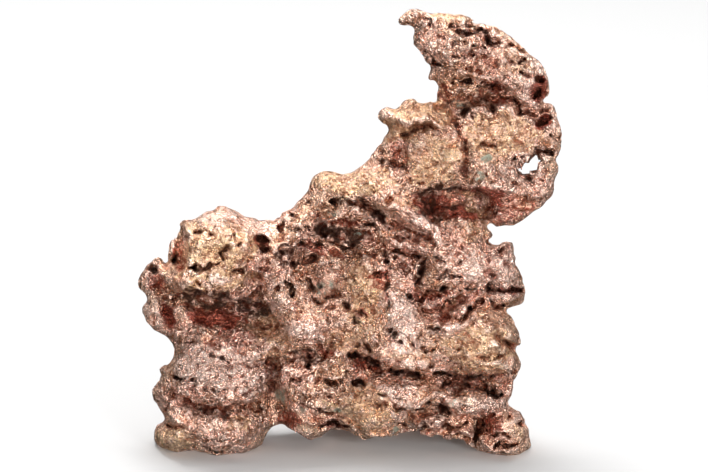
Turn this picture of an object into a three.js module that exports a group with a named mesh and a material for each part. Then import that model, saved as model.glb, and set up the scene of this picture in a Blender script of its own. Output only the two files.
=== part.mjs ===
// A native copper nugget: one continuous lump of metal, about 88 mm tall, 85 mm wide and 30 mm deep.
// A thick, lobed body stands on three small worn spots. A thinner plate rises from its right shoulder
// and ends in a horn that curls to the left.
//
// The nugget is described on its face plane: u runs to the right, v runs up the face and w stands out
// of it, in millimetres. The face plane leans back by FACE_LEAN, so that the face looks a little
// upwards. A field over space, negative inside the metal, is built from the outline, the heights of
// the two sides and the hollows. Its zero surface is then meshed as one closed body.

import * as THREE from "three";

// Driving dimensions, in millimetres and degrees.
const FACE_LEAN = 15; // how far the face plane leans back from upright
const FACE_ORIGIN = new THREE.Vector3(-3.2, -7.25, -0.8); // u = v = w = 0, in the part's frame
const CELL = 2.1; // edge of the meshing grid's cells
const ROOM = new THREE.Box3(new THREE.Vector3(-45, -24, -3), new THREE.Vector3(45, 24, 91));
const RIM_ROUND = 6; // the rim's rounding in the face plane, where the metal is thick
const UNDERSIDE_LIFT = 3.4; // height of the underside over the ground between the feet
const FLOOR_HEIGHT = 3.2; // height of either side where no lump stands
const BLEND = 0.9; // how softly neighbouring lumps meet
const COPPER = { color: 0xc08a72, roughness: 0.38, metalness: 0.9 };

// The outline, clockwise from the foot of the lower left lobe, as [u, v] along each stretch.
const OUTLINE = [
  // lower left lobe and the lumpy edge above it
  [-31, -0.5], [-33, -0.8], [-34.9, 0.6], [-35.9, 2.6], [-36.1, 4.6], [-35.5, 5.8], [-34.5, 6.5],
  [-34.3, 7.8], [-35.2, 9.8], [-35.9, 11.6], [-36, 13.2], [-35.4, 14.8], [-34.8, 15.9], [-34.9, 17.2],
  [-34.1, 17.8], [-33.1, 17.9], [-32.3, 19], [-31.9, 20.8], [-31.8, 22.5], [-32.6, 23.5],
  // the two small lobes on the left
  [-34.2, 24.3], [-35.8, 25.3], [-37.2, 26.5], [-38.1, 28.2], [-38.3, 29.7], [-37.7, 31], [-37.4, 32.1],
  [-38.3, 32.9], [-39.2, 33.8], [-39.3, 35.1], [-38.6, 36.6], [-37.4, 38.3], [-36.3, 39.5], [-35.2, 40],
  [-34.3, 39.5], [-33.9, 38.7], [-33.3, 38.3], [-32.9, 39.1],
  // the square lump at the upper left
  [-32.9, 40.6], [-32.5, 42.2], [-31.7, 44], [-30.9, 45.7], [-29.9, 46.8], [-28, 47.3], [-26, 48.2],
  [-24, 49], [-22.6, 49.7], [-21, 49.7], [-19.4, 49], [-18.1, 47.9], [-16.6, 47.8], [-15.6, 47.7],
  [-14.9, 47.1], [-13.4, 47.2], [-11.9, 47.1],
  // the steps up to the shoulder
  [-11, 47.9], [-10.4, 48.7], [-9.4, 49], [-8.1, 49.5], [-7, 50.6], [-5.9, 51.8], [-5.2, 53],
  [-4.9, 54.2], [-4.2, 55.7], [-3, 56.6], [-1.4, 57], [0, 57], [1.6, 56.7], [3.4, 56.7], [4.8, 57.4],
  [6.4, 58.4], [7.5, 59.3], [8, 60.4], [8.9, 61.5],
  // the left lobe of the neck
  [9.9, 62.8], [10.5, 64.1], [11, 65.2], [10.8, 66.3], [9.8, 66.9], [9.3, 67.9], [9.5, 69.2],
  [10.4, 69.9], [11.5, 69.8], [12.6, 69.5], [13.6, 70.1], [14.6, 70.9], [15.7, 71], [16.8, 70.4],
  [18.2, 70.3], [19.5, 70.6], [20.4, 70], [21.4, 69.6],
  // up the inner edge of the horn to its tip
  [21.1, 70.8], [20.9, 72.2], [21.1, 73.4], [20.7, 74.6], [20, 75.8], [19.5, 77.2], [19.1, 78.4],
  [18.2, 79.6], [17.3, 80.9], [16.4, 81.9], [16.1, 83.2], [16.3, 84.4], [15.9, 85.5], [14.8, 85.8],
  [13.6, 85.6], [12.9, 86.2], [13.2, 87.2], [14.4, 88], [15.9, 88.4], [17.4, 88.3],
  // down the back of the horn
  [18.6, 87.9], [20, 88.2], [21.6, 88.1], [23.4, 87.5], [25.2, 87.4], [26.8, 87.1], [28.4, 86.4],
  [30, 86.1], [31.6, 85.2], [33.6, 84.2], [35.4, 83], [37.2, 81.6], [39, 80.2], [40.4, 78.9],
  [41.5, 77.4], [42.4, 75.8], [43, 74], [42.9, 72.5], [42.2, 71.5], [42.1, 70.8],
  // the plate's right edge, down to its rounded corner
  [43, 70.4], [43.8, 69.4], [44.3, 68], [45.1, 66], [45.4, 64], [45.2, 62], [44.9, 60.2], [44.8, 58.6],
  [44.8, 57], [44.4, 55], [43.6, 53], [42.6, 51.1], [41.2, 49.7], [39.4, 48.6], [37.6, 47.5],
  [36, 46.4], [34.2, 45.9], [32.6, 46.1], [31.5, 46.8],
  // the waist and the right column
  [30.8, 46.7], [30.8, 45.7], [31.5, 44.7], [31.3, 43.6], [31.3, 42.6], [32.3, 42.1], [33.6, 42.4],
  [34.8, 42.9], [35.7, 42.3], [36.1, 40.8], [36.5, 39], [37.1, 37], [37.7, 35.2], [38.3, 33.6],
  [38.4, 32.1], [37.7, 30.9], [36.4, 30.3], [35, 30], [34.3, 29.3],
  // the bulges of the lower right
  [35.1, 28.5], [35.9, 27.4], [36.3, 26], [36.9, 24.6], [37.4, 23.3], [37.2, 22.2], [36.4, 21.5],
  [36.9, 20.5], [37.4, 19.1], [37.5, 17.6], [37, 16.4], [36.4, 15.4], [36.1, 14], [35.6, 12.4],
  [35.1, 10.9], [35.3, 9.7], [36.6, 9.3], [37.6, 8.7], [38.3, 7.2], [38.9, 5.5], [39.2, 3.7],
  [39.1, 1.8], [38.5, 0], [37.4, -1.1], [36, -1.4],
  // along the underside, back to the lower left lobe
  [34, -1], [31.5, -0.4], [28.5, 0.4], [26, 1.4], [23.5, 1.8], [20.5, 1.8], [17.5, 2], [14.5, 2.4],
  [12.2, 3], [10.2, 3.3], [8.2, 2.9], [6.6, 2.7], [5.2, 3.4], [3.9, 4.4], [2.4, 5.1], [0.4, 5],
  [-1.6, 4.7], [-2.7, 3.6], [-3.8, 2.4], [-5, 2], [-6.1, 2.9], [-7.2, 3.8], [-8.4, 4.6], [-9.1, 5.7],
  [-10.2, 6.3], [-11.8, 6.1], [-13.2, 5], [-14.1, 3.4], [-14.9, 1.7], [-16.2, 0.4], [-18.5, -0.4],
  [-21, -0.7], [-23.5, -0.7], [-25.5, -0.2], [-27.4, 0.2], [-29.4, 0],
];

// Lumps of one side. Each is an ellipse at [u, v] with half axes [along, across], turned by angle
// degrees, whose top stands at height over the middle surface. Its top is flat to a share that grows
// with square, and it falls away to the floor at its edge.
const lump = (at, half, angle, height, square = 2.4) => ({ at, half, angle, height, square });

const FRONT_LUMPS = [
  lump([-36.3, 36], [4.8, 3.4], 55, 4.2), // small lobes on the left
  lump([-35.4, 28.6], [4.4, 3.6], 80, 4),
  lump([-31.4, 41.5], [5.4, 2.4], 70, 7),
  lump([-23.2, 41], [8.6, 7.4], 8, 13, 4), // square lump, its lower lip and its top
  lump([-24.5, 36], [8.4, 3.4], -3, 13.4, 3),
  lump([-16.8, 42.4], [3.4, 6.4], 0, 11.4, 3),
  lump([-22, 47.4], [8, 2.8], 4, 8.5),
  lump([-11.6, 38.5], [3.6, 10], 8, 9.8), // the band down the middle of the left half
  lump([-7, 30.5], [9, 4.4], -42, 10.6),
  lump([-8, 45], [5, 5], 30, 8.2),
  lump([-23, 22], [10.5, 4.6], 0, 8.6), // below the slit
  lump([-23.5, 16.6], [10.8, 6.2], 0, 12, 3),
  lump([-33.6, 12.6], [2.9, 5.6], 0, 7.4),
  lump([-30.6, 8.4], [4.6, 3.6], 20, 10.6), // lower left lobe
  lump([-32.4, 3.8], [4.2, 3.8], 0, 10.4),
  lump([-23.6, 6.4], [9.6, 3.6], -4, 12),
  lump([-20.6, 2.8], [6.4, 3.2], 0, 12.4),
  lump([-4.6, 19], [9.6, 6.8], 0, 9.4, 3), // middle of the lower body
  lump([-5.6, 25.4], [4.2, 3.4], 25, 11.4),
  lump([-2, 11.4], [9.4, 4.6], -6, 9.6),
  lump([-5.6, 5.4], [4.4, 3.6], 0, 6.6),
  lump([8, 9], [8, 6], -8, 9.8),
  lump([6, 26], [7.8, 4.6], -20, 10.4),
  lump([6.4, 33.6], [4.8, 5.4], 0, 8.8), // around the square recess
  lump([14, 37], [5.2, 5.2], -8, 7.6, 4),
  lump([13.4, 28.4], [4.6, 5.8], 20, 11.2),
  lump([22.6, 38], [6.8, 4.6], -12, 10.4),
  lump([27.6, 38], [3.8, 5.4], 0, 10.2),
  lump([34, 37.4], [5.6, 3.8], 78, 8.4), // right column
  lump([34.6, 31.8], [4.2, 2.8], 8, 8.2),
  lump([17, 22.6], [12, 5.4], -4, 12.2, 3.4), // the long lip and the bulge at its end
  lump([29, 23.4], [8.2, 6], 4, 14.2, 3),
  lump([33, 26.2], [4, 3.2], -35, 12.4),
  lump([34.4, 18.8], [3.6, 3.2], 0, 11),
  lump([16, 12.8], [8.6, 3.6], -6, 10.8, 3), // ledge under the lip
  lump([27.4, 11], [8.6, 2.6], -2, 11.8),
  lump([21, 6], [9.4, 4.4], 0, 8),
  lump([35, 4.8], [4.8, 5], 0, 11), // lower right lobe
  lump([30.6, 3], [3.4, 3], 0, 9.4),
  lump([2.4, 54], [8.4, 3.6], 2, 7.6, 3), // shoulder
  lump([11.6, 53.6], [6.6, 4.4], -24, 8.2),
  lump([2, 49.4], [6, 2.4], -10, 6.2),
  lump([15.4, 48.6], [5.4, 2.6], -40, 9.2),
  lump([25, 44.8], [5.6, 3.6], -10, 7.2),
  lump([18.2, 60.4], [7.4, 6.8], 0, 7.6, 3), // left lobe of the neck
  lump([16.6, 67.8], [6.2, 2.8], 2, 8.6),
  lump([11, 68.4], [2.2, 2], 0, 5.4),
  lump([11.6, 60.6], [3.6, 3.4], 40, 5.2),
  lump([34, 63.4], [10.4, 7.6], 4, 4.4, 4), // the plate
  lump([36, 56.2], [8.4, 4.6], 12, 5.6),
  lump([31, 55.4], [5, 3], -6, 6),
  lump([30, 80.2], [13.2, 6.8], -38, 4.6, 3), // the horn
  lump([31, 75.6], [9.6, 3.2], -6, 5.6),
  lump([24, 85.8], [7.4, 1.9], -8, 4.4),
  lump([15.4, 87], [2.8, 1.8], 0, 3.4),
];

const BACK_LUMPS = [
  lump([-22, 38], [11, 9.4], 12, 9, 3),
  lump([-24, 14], [12, 11], -10, 12, 3),
  lump([-3, 30], [13, 12], 25, 12.4),
  lump([2, 10], [15, 9], 0, 13.4, 3),
  lump([27, 14], [11, 12], 10, 12, 3),
  lump([22, 34], [12, 9], -20, 10.4),
  lump([6, 49], [12, 8], 20, 8),
  lump([20, 60], [9, 8], 0, 5.4),
  lump([36, 58], [9, 11], 0, 4.6),
  lump([31, 79], [13, 7], -38, 4.4),
  lump([-36, 33], [4, 8], 0, 4),
];

// Ridges and grooves of the front: a stroke runs through its points, is width wide to each side and
// rises by rise, or sinks where rise is negative.
const stroke = (width, rise, ...path) => ({ width, rise, path });

const FRONT_STROKES = [
  stroke(2.2, 2.2, [9, 50.6], [14, 48.6], [17.4, 46.4], [20.4, 44], [23.6, 42.6]), // slanting ridges
  stroke(2, -2.4, [8.6, 48.4], [12, 46], [16, 44.2], [19.6, 42.4]),
  stroke(2, -1.8, [7.6, 43.4], [11.4, 42], [15.2, 41.6], [18.4, 40.4]),
  stroke(2.6, -4, [-2.6, 45.6], [0.4, 44.6], [4, 44.8]), // the dark basin
  stroke(2.2, -2.6, [-1.6, 42], [-4.8, 40.2], [-8.6, 40.8]),
  stroke(2.2, -3, [-34.4, 33.4], [-33.2, 31], [-32.9, 28], [-32.7, 25.4]), // behind the small lobes
  stroke(2, -2.6, [-30.4, 45.2], [-29.8, 42], [-30.8, 39]),
  stroke(2.2, -3.6, [-27.6, 11], [-24, 10.4], [-20, 10.6], [-16, 11]), // under the lower left face
  stroke(2, -2.4, [-33, 11.8], [-30.6, 12]),
  stroke(2.6, -6, [-12.4, 18], [-11.6, 13], [-10.8, 8]), // between the two lower halves
  stroke(2, -2.4, [-10, 21], [-6, 20.4], [-2.6, 21.2]),
  stroke(2.4, -4.6, [5, 19], [8.4, 18], [12, 16.6]), // under the lip
  stroke(2.4, -4.8, [20, 15.6], [25, 14.6], [30, 14.4], [34, 14.8]),
  stroke(2, -2.6, [33.6, 24.2], [36.4, 22.2]),
  stroke(2.2, -2.6, [18, 6.4], [22, 5.8], [26.6, 5.6], [29, 7.6]), // the hollow under the ledge
  stroke(2.2, -3, [28.6, 3.6], [29.6, 6.2], [31, 8.4]),
  stroke(2, -2.4, [31.4, 34], [34, 33.6], [37, 33.2]), // across the right column
  stroke(2, -2.6, [17.9, 39], [17.6, 36.6], [16.6, 34]), // edge of the square recess
  stroke(2, -2.4, [14.2, 64.6], [17, 65.7], [20, 65.8]), // crease of the left lobe
  stroke(2, -2.6, [12.4, 62.6], [11.8, 58.8]),
  stroke(2, -4, [24, 68.6], [25, 65.6], [26, 62.6], [26.5, 59.6], [26.4, 56.6]), // neck seam
  stroke(2.2, -3.6, [22, 71.8], [26, 71], [30.6, 71.4], [35.4, 71.2], [39.6, 69.4]), // under the horn
];

// Hollows that go into the metal: a tunnel of radius runs through points [u, v, height].
const tunnel = (radius, ...path) => ({ radius, path });

const HOLLOWS = [
  tunnel(2.2, [-28.4, 31.2, 11], [-25, 31, 6], [-19, 30.4, 5], [-12.6, 30.2, 9]), // the slit
  tunnel(2, [-26.4, 28.2, 9], [-22.6, 28, 5], [-18.6, 28.4, 7]),
  tunnel(2.2, [-13.6, 42.2, 14], [-14, 42, 8]),
  tunnel(2.8, [18.6, 51.6, 7], [22.6, 51.4, 2], [27.6, 50.6, 2], [30.4, 49.6, 4]), // under the plate
  tunnel(2.2, [19, 31.9, 11], [23, 32, 4], [28.6, 32.3, 8]), // right slot
  tunnel(2, [41.2, 66.8, 8], [41.4, 66.8, 2]), // pits at the plate's right edge
  tunnel(2, [40.7, 73.4, 8], [40.9, 73.4, 1.6]),
];
const HOLES = [tunnel(1.6, [38.4, 57.2, -20], [38.4, 57.2, 20])]; // right through the plate

// The feet, as ellipses at [x, y] on the ground with half axes [across, deep]: two in front, and one
// under the heel, an egg of metal low down on the back.
const FEET = [
  { at: [-28.5, -1.5], half: [10.5, 8.5] },
  { at: [32, -2], half: [7.5, 8.5] },
  { at: [7, 10], half: [9, 5.5] },
];
const HEEL = { at: new THREE.Vector3(7, 9.4, 5), half: new THREE.Vector3(11, 5.8, 6.6) };

// The middle surface bends out of the face plane: forward as it rises, and out at the horn.
function middleHeight(u, v) {
  const rise = 0.13 * (v - 26);
  const hornCurl = 3.2 * THREE.MathUtils.smoothstep(v, 70, 88);
  const leftBend = -2.4 * THREE.MathUtils.smoothstep(-u, 26, 40);
  return rise + hornCurl + leftBend;
}

// How far inside the outline the rim starts to round: less where the metal is thin.
function rimRound(thickness) {
  return Math.min(RIM_ROUND, 0.8 * thickness);
}

// ---- noise: smooth random values on a lattice, always the same
function latticeValue(i, j, k) {
  let n = Math.imul(i, 374761393) + Math.imul(j, 668265263) + Math.imul(k, 2147483647);
  n = Math.imul(n ^ (n >>> 13), 1274126177);
  return ((n ^ (n >>> 16)) >>> 0) / 2147483648 - 1;
}

function smoothNoise(x, y, z) {
  const cell = [x, y, z].map(Math.floor);
  const [a, b, c] = [x - cell[0], y - cell[1], z - cell[2]].map((t) => t * t * (3 - 2 * t));
  let sum = 0;
  for (let corner = 0; corner < 8; corner++) {
    const [i, j, k] = [corner & 1, (corner >> 1) & 1, corner >> 2];
    const weight = (i ? a : 1 - a) * (j ? b : 1 - b) * (k ? c : 1 - c);
    sum += weight * latticeValue(cell[0] + i, cell[1] + j, cell[2] + k);
  }
  return sum;
}

// ---- distances
function segmentDistance(p, a, b) {
  const dims = a.length;
  let along = 0;
  let lengthSq = 0;
  for (let i = 0; i < dims; i++) {
    along += (p[i] - a[i]) * (b[i] - a[i]);
    lengthSq += (b[i] - a[i]) ** 2;
  }
  const t = THREE.MathUtils.clamp(along / lengthSq, 0, 1);
  let sum = 0;
  for (let i = 0; i < dims; i++) sum += (p[i] - a[i] - t * (b[i] - a[i])) ** 2;
  return Math.sqrt(sum);
}

function pathDistance(p, path) {
  let nearest = Infinity;
  for (let i = 1; i < path.length; i++) {
    nearest = Math.min(nearest, segmentDistance(p, path[i - 1], path[i]));
  }
  return nearest;
}

const outlineCurve = new THREE.CatmullRomCurve3(
  OUTLINE.map(([u, v]) => new THREE.Vector3(u, v, 0)),
  true,
  "centripetal",
);
const outlinePoints = outlineCurve.getPoints(2 * OUTLINE.length).map((p) => [p.x, p.y]);

// Signed distance from the outline, negative inside.
function outlineDistance(u, v) {
  let inside = false;
  for (let i = 1; i < outlinePoints.length; i++) {
    const [u0, v0] = outlinePoints[i - 1];
    const [u1, v1] = outlinePoints[i];
    if (v0 > v !== v1 > v && u < u0 + ((v - v0) * (u1 - u0)) / (v1 - v0)) inside = !inside;
  }
  const distance = pathDistance([u, v], outlinePoints);
  return inside ? -distance : distance;
}

// ---- heights of the two sides over the middle surface
function lumpHeight({ at, half, angle, height, square }, u, v) {
  const turn = THREE.MathUtils.degToRad(angle);
  const [du, dv] = [u - at[0], v - at[1]];
  const along = (du * Math.cos(turn) + dv * Math.sin(turn)) / half[0];
  const across = (dv * Math.cos(turn) - du * Math.sin(turn)) / half[1];
  const reach = Math.hypot(along, across) / 1.25;
  if (reach >= 1) return 0;
  return height * (1 - reach ** square) ** (1 / square);
}

function sideHeight(lumps, u, v) {
  let sum = Math.exp(FLOOR_HEIGHT / BLEND);
  for (const one of lumps) sum += Math.exp(lumpHeight(one, u, v) / BLEND);
  return BLEND * Math.log(sum);
}

function strokeRise(u, v) {
  let rise = 0;
  for (const one of FRONT_STROKES) {
    const reach = pathDistance([u, v], one.path) / (1.6 * one.width);
    if (reach < 1) rise += one.rise * (1 - reach * reach) ** 2;
  }
  return rise;
}

function frontHeight(u, v) {
  const grain = 0.9 * smoothNoise(u / 5, v / 5, 7.3) + 0.5 * smoothNoise(u / 2.6, v / 2.6, 3.1);
  return Math.max(sideHeight(FRONT_LUMPS, u, v) + strokeRise(u, v) + grain, 1.2);
}

function backHeight(u, v) {
  const grain = 2 * smoothNoise(u / 9, v / 9, 21.7) + 1 * smoothNoise(u / 4.4, v / 4.4, 15.2);
  return Math.max(sideHeight(BACK_LUMPS, u, v) + grain, 1.6);
}

// The underside is hollowed a little between the feet, and bumpy.
function undersideHeight(x, y) {
  const reach = ({ at, half }) => Math.hypot((x - at[0]) / half[0], (y - at[1]) / half[1]);
  const nearest = Math.min(...FEET.map(reach));
  const bumps = 1 + 0.5 * smoothNoise(x / 6, y / 6, 5.5);
  return UNDERSIDE_LIFT * bumps * THREE.MathUtils.smoothstep(nearest, 0.75, 1.5) - 0.6;
}

// ---- the field: negative inside the metal
const toFace = new THREE.Matrix4()
  .makeRotationX(THREE.MathUtils.degToRad(90 - FACE_LEAN))
  .setPosition(FACE_ORIGIN)
  .invert();

function soften(a, b, radius) {
  const overlap = Math.max(radius - Math.abs(a - b), 0);
  return Math.max(a, b) + (overlap * overlap) / (4 * radius);
}

function field(x, y, z) {
  const { x: u, y: v, z: w } = new THREE.Vector3(x, y, z).applyMatrix4(toFace);
  const edge = outlineDistance(u, v);
  if (edge > 4 * CELL) return edge;
  const height = w - middleHeight(u, v);
  const side = height > 0 ? frontHeight(u, v) : backHeight(u, v);
  const round = rimRound(side);
  const inRim = Math.max(edge + round, 0) / round;
  let value = (Math.hypot(inRim, height / side) - 1) * Math.min(round, side);
  for (const hollow of HOLLOWS) {
    value = soften(value, hollow.radius - pathDistance([u, v, w - middleHeight(u, v)], hollow.path), 0.8);
  }
  for (const hole of HOLES) value = Math.max(value, hole.radius - pathDistance([u, v, w], hole.path));
  const heel = new THREE.Vector3(x, y, z).sub(HEEL.at).divide(HEEL.half);
  value = -soften(-value, (1 - heel.length()) * HEEL.half.y, 4);
  return Math.max(value, undersideHeight(x, y) - z, -z);
}

// ---- meshing: one vertex in each grid cell that the surface crosses
const CORNERS = Array.from({ length: 8 }, (_, c) => [c & 1, (c >> 1) & 1, c >> 2]);
const EDGES = CORNERS.flatMap((_, a) => {
  const steps = [1, 2, 4].filter((step) => !(a & step));
  return steps.map((step) => [a, a + step]);
});

// Whether the corners whose bit in mask is wanted hang together along the cell's edges.
function connected(mask, wanted) {
  const chosen = CORNERS.map((_, c) => ((mask >> c) & 1) === wanted);
  const first = chosen.indexOf(true);
  if (first < 0) return true;
  const reached = new Set([first]);
  for (let pass = 0; pass < 8; pass++) {
    for (const [a, b] of EDGES) {
      if (chosen[a] && chosen[b] && (reached.has(a) || reached.has(b))) reached.add(a).add(b);
    }
  }
  return reached.size === chosen.filter(Boolean).length;
}
const CLEAN_CELL = Array.from({ length: 256 }, (_, mask) => connected(mask, 1) && connected(mask, 0));

function sampleField() {
  const size = ROOM.getSize(new THREE.Vector3()).divideScalar(CELL).ceil().addScalar(1);
  const [nx, ny, nz] = size.toArray();
  const at = (i, j, k) => i + nx * (j + ny * k);
  const place = (i, j, k) => [ROOM.min.x + i * CELL, ROOM.min.y + j * CELL, ROOM.min.z + k * CELL];
  const values = new Float64Array(nx * ny * nz);
  for (let k = 0; k < nz; k++) {
    for (let j = 0; j < ny; j++) {
      for (let i = 0; i < nx; i++) values[at(i, j, k)] = field(...place(i, j, k));
    }
  }
  return { nx, ny, nz, at, place, values };
}

function cellMask({ at, values }, i, j, k) {
  const inMetal = ([a, b, c]) => values[at(i + a, j + b, k + c)] < 0;
  return CORNERS.reduce((mask, corner, n) => mask | (inMetal(corner) ? 1 << n : 0), 0);
}

function forEachCell({ nx, ny, nz }, visit) {
  for (let k = 0; k < nz - 1; k++) {
    for (let j = 0; j < ny - 1; j++) {
      for (let i = 0; i < nx - 1; i++) visit(i, j, k);
    }
  }
}

// Fills single corners until no cell holds two separate bits of metal or of air, so that the mesh is
// one clean surface.
function cleanCells(grid) {
  for (let changed = true; changed; ) {
    changed = false;
    forEachCell(grid, (i, j, k) => {
      if (CLEAN_CELL[cellMask(grid, i, j, k)]) return;
      const outside = CORNERS.map(([a, b, c]) => grid.at(i + a, j + b, k + c))
        .filter((index) => grid.values[index] >= 0)
        .sort((p, q) => grid.values[p] - grid.values[q]);
      grid.values[outside[0]] = -0.05 * CELL;
      changed = true;
    });
  }
}

// Keeps only the largest connected region of metal, or of air: crumbs that hang on nothing turn to
// air, and closed pockets fill with metal.
function keepLargest(grid, metal) {
  const { nx, ny, values } = grid;
  const wanted = (index) => values[index] < 0 === metal;
  const region = new Int32Array(values.length);
  const steps = [1, -1, nx, -nx, nx * ny, -nx * ny];
  const sizes = [0];
  for (let start = 0; start < values.length; start++) {
    if (!wanted(start) || region[start]) continue;
    const label = sizes.length;
    const queue = [start];
    region[start] = label;
    for (let n = 0; n < queue.length; n++) {
      for (const step of steps) {
        const next = queue[n] + step;
        if (next < 0 || next >= values.length || !wanted(next) || region[next]) continue;
        region[next] = label;
        queue.push(next);
      }
    }
    sizes.push(queue.length);
  }
  const largest = sizes.indexOf(Math.max(...sizes));
  for (let index = 0; index < values.length; index++) {
    if (wanted(index) && region[index] !== largest) values[index] = metal ? 0.05 * CELL : -0.05 * CELL;
  }
}

function cellVertex(grid, i, j, k) {
  const crossings = [];
  for (const [a, b] of EDGES) {
    const [pa, pb] = [a, b].map((c) => [i + CORNERS[c][0], j + CORNERS[c][1], k + CORNERS[c][2]]);
    const [va, vb] = [pa, pb].map((p) => grid.values[grid.at(...p)]);
    if (va < 0 === vb < 0) continue;
    const [from, to] = [pa, pb].map((p) => new THREE.Vector3(...grid.place(...p)));
    crossings.push(from.lerp(to, va / (va - vb)));
  }
  const sum = crossings.reduce((total, point) => total.add(point), new THREE.Vector3());
  return sum.divideScalar(crossings.length);
}

function meshField() {
  const grid = sampleField();
  keepLargest(grid, true);
  cleanCells(grid);
  keepLargest(grid, false);
  const { at, values } = grid;
  const vertexOf = new Map();
  const vertices = [];
  forEachCell(grid, (i, j, k) => {
    const mask = cellMask(grid, i, j, k);
    if (mask === 0 || mask === 255) return;
    vertexOf.set(at(i, j, k), vertices.length);
    vertices.push(cellVertex(grid, i, j, k));
  });

  // Each grid edge that the surface crosses joins the four cells around it as two triangles.
  const triangles = [];
  const axes = [
    [[1, 0, 0], [0, 1, 0], [0, 0, 1]],
    [[0, 1, 0], [0, 0, 1], [1, 0, 0]],
    [[0, 0, 1], [1, 0, 0], [0, 1, 0]],
  ];
  forEachCell(grid, (i, j, k) => {
    for (const [along, side, up] of axes) {
      const here = values[at(i, j, k)] < 0;
      const there = values[at(i + along[0], j + along[1], k + along[2])] < 0;
      if (here === there) continue;
      const cells = [[0, 0], [1, 0], [1, 1], [0, 1]].map(([s, t]) => {
        const [ci, cj, ck] = [0, 1, 2].map((d) => [i, j, k][d] - s * side[d] - t * up[d]);
        return vertexOf.get(at(ci, cj, ck));
      });
      const [p, q, r, s] = here ? cells : cells.reverse();
      if (vertices[p].distanceTo(vertices[r]) <= vertices[q].distanceTo(vertices[s])) {
        triangles.push(p, q, r, p, r, s);
      } else {
        triangles.push(q, r, s, q, s, p);
      }
    }
  });
  const geometry = new THREE.BufferGeometry().setFromPoints(vertices);
  geometry.setIndex(triangles);
  geometry.computeVertexNormals();
  return geometry;
}

const nugget = new THREE.Mesh(meshField(), new THREE.MeshStandardMaterial(COPPER));
nugget.name = "nugget";

const part = new THREE.Group();
part.add(nugget);

export default part;
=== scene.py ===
"""A native copper nugget standing on a pale studio floor.

The nugget is described on its face plane, as in the CAD model: u runs to the right, v up the face and
w out of it, in millimetres. A field over space, negative inside the metal, is sampled on a fine grid,
roughened with pits, cracks and hackly grain, and meshed as one closed piece. Smooth maps over the face
say where the metal is pale, partly clean copper and partly painted highlight, gilded with tarnish,
red and dark with oxide and with painted shade in its recesses, or spotted with green patina. Its crests
are also lightened as painted highlight, and its hollows, cracks and grain creases darkened as painted
shade, partly oxide and dirt.
"""

import math

import bpy
import numpy as np
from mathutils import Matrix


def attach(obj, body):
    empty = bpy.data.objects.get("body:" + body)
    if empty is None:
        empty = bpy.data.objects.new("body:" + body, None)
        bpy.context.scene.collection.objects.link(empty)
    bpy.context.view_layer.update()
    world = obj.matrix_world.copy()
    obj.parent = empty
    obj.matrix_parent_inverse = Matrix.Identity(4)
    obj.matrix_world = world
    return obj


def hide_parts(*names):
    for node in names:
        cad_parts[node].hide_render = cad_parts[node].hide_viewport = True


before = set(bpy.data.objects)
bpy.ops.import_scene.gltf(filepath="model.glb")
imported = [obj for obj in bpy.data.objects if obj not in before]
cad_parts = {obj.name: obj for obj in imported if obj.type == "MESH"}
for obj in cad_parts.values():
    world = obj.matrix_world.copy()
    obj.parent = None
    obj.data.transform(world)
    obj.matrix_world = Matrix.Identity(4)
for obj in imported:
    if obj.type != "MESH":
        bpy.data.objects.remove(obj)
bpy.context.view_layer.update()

import openvdb
from mathutils import Vector

MM = 0.001
VOXEL = 0.38
TRIANGLES = 190_000

# The face plane leans back, and u = 0, v = 0, w = 0 lies here in the part's frame.
FACE_LEAN = math.radians(15)
FACE_ORIGIN = np.array([-3.2, -7.25, -0.8])

# The box that is sampled, the width of the band of true distances and the depth of the grain, in mm.
ROOM_LOW = np.array([-45.0, -20.0, -2.0])
ROOM_HIGH = np.array([45.5, 19.0, 91.0])
BAND = 3.6
GRAIN_DEPTH = 3

# The edge of the slab that the lumps grow from, and how softly they run together.
RIM_ROUND = 6.0
FLOOR_HEIGHT = 3.2
BLEND = 0.9
LEAST_FRONT = 1.2
LEAST_BACK = 1.6

# The underside: (x, y) and half sizes of the worn spots that it stands on, and the lump above the rear one.
FEET = [((-28.5, -1.5), (10.5, 8.5)), ((32, -2), (7.5, 8.5)), ((7, 10), (9, 5.5))]
FOOT_WEAR = 0.6
UNDERSIDE_LIFT = 3.4
HEEL_AT = np.array([7, 9.4, 5])
HEEL_HALF = np.array([11, 5.8, 6.6])
HEEL_BLEND = 4

# Colors of the metal and of what covers it; some also serve as painted highlight and painted shade.
ROSE = (0.95, 0.64, 0.53, 1)
TAN = (0.84, 0.57, 0.41, 1)
GOLD = (0.73, 0.49, 0.29, 1)
# Pale clean copper, also used as painted highlight on bright patches, open crests and glints.
PALE_AND_PAINTED_HIGHLIGHT = (1.0, 0.76, 0.66, 1)
# Dark grain speckle, also used as painted shade in the hollows and creases of the grain.
SPECKLE_AND_PAINTED_SHADE = (0.32, 0.135, 0.07, 1)
# Red oxide, also used as painted shade in recesses, grooves and under ledges.
CUPRITE_AND_PAINTED_SHADE = (0.31, 0.06, 0.035, 1)
# Near black, used as painted shadow in recesses and slits and as dirt in cracks.
SOOT_AND_PAINTED_SHADOW = (0.055, 0.022, 0.013, 1)
# Dark red oxide, also used as painted shade in every hollow.
OXIDE_AND_PAINTED_SHADE = (0.24, 0.06, 0.028, 1)
PATINA = (0.42, 0.46, 0.38, 1)
SHEEN = (1.0, 0.78, 0.66, 1)

# Lobes of light in the sky: direction, cosines of its outer and inner angle, strength.
SKY_LOBES = [
    ((-0.05, 0.42, 0.91), 0.35, 0.95, 1.7),
    ((0.05, -0.98, 0.12), 0.8, 0.995, 2.4),
    ((0.95, 0, 0.3), 0.5, 1.0, 0.8),
    ((0, -0.75, -0.66), 0.1, 0.95, 0.6),
]
SKY_BASE = 0.07

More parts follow.
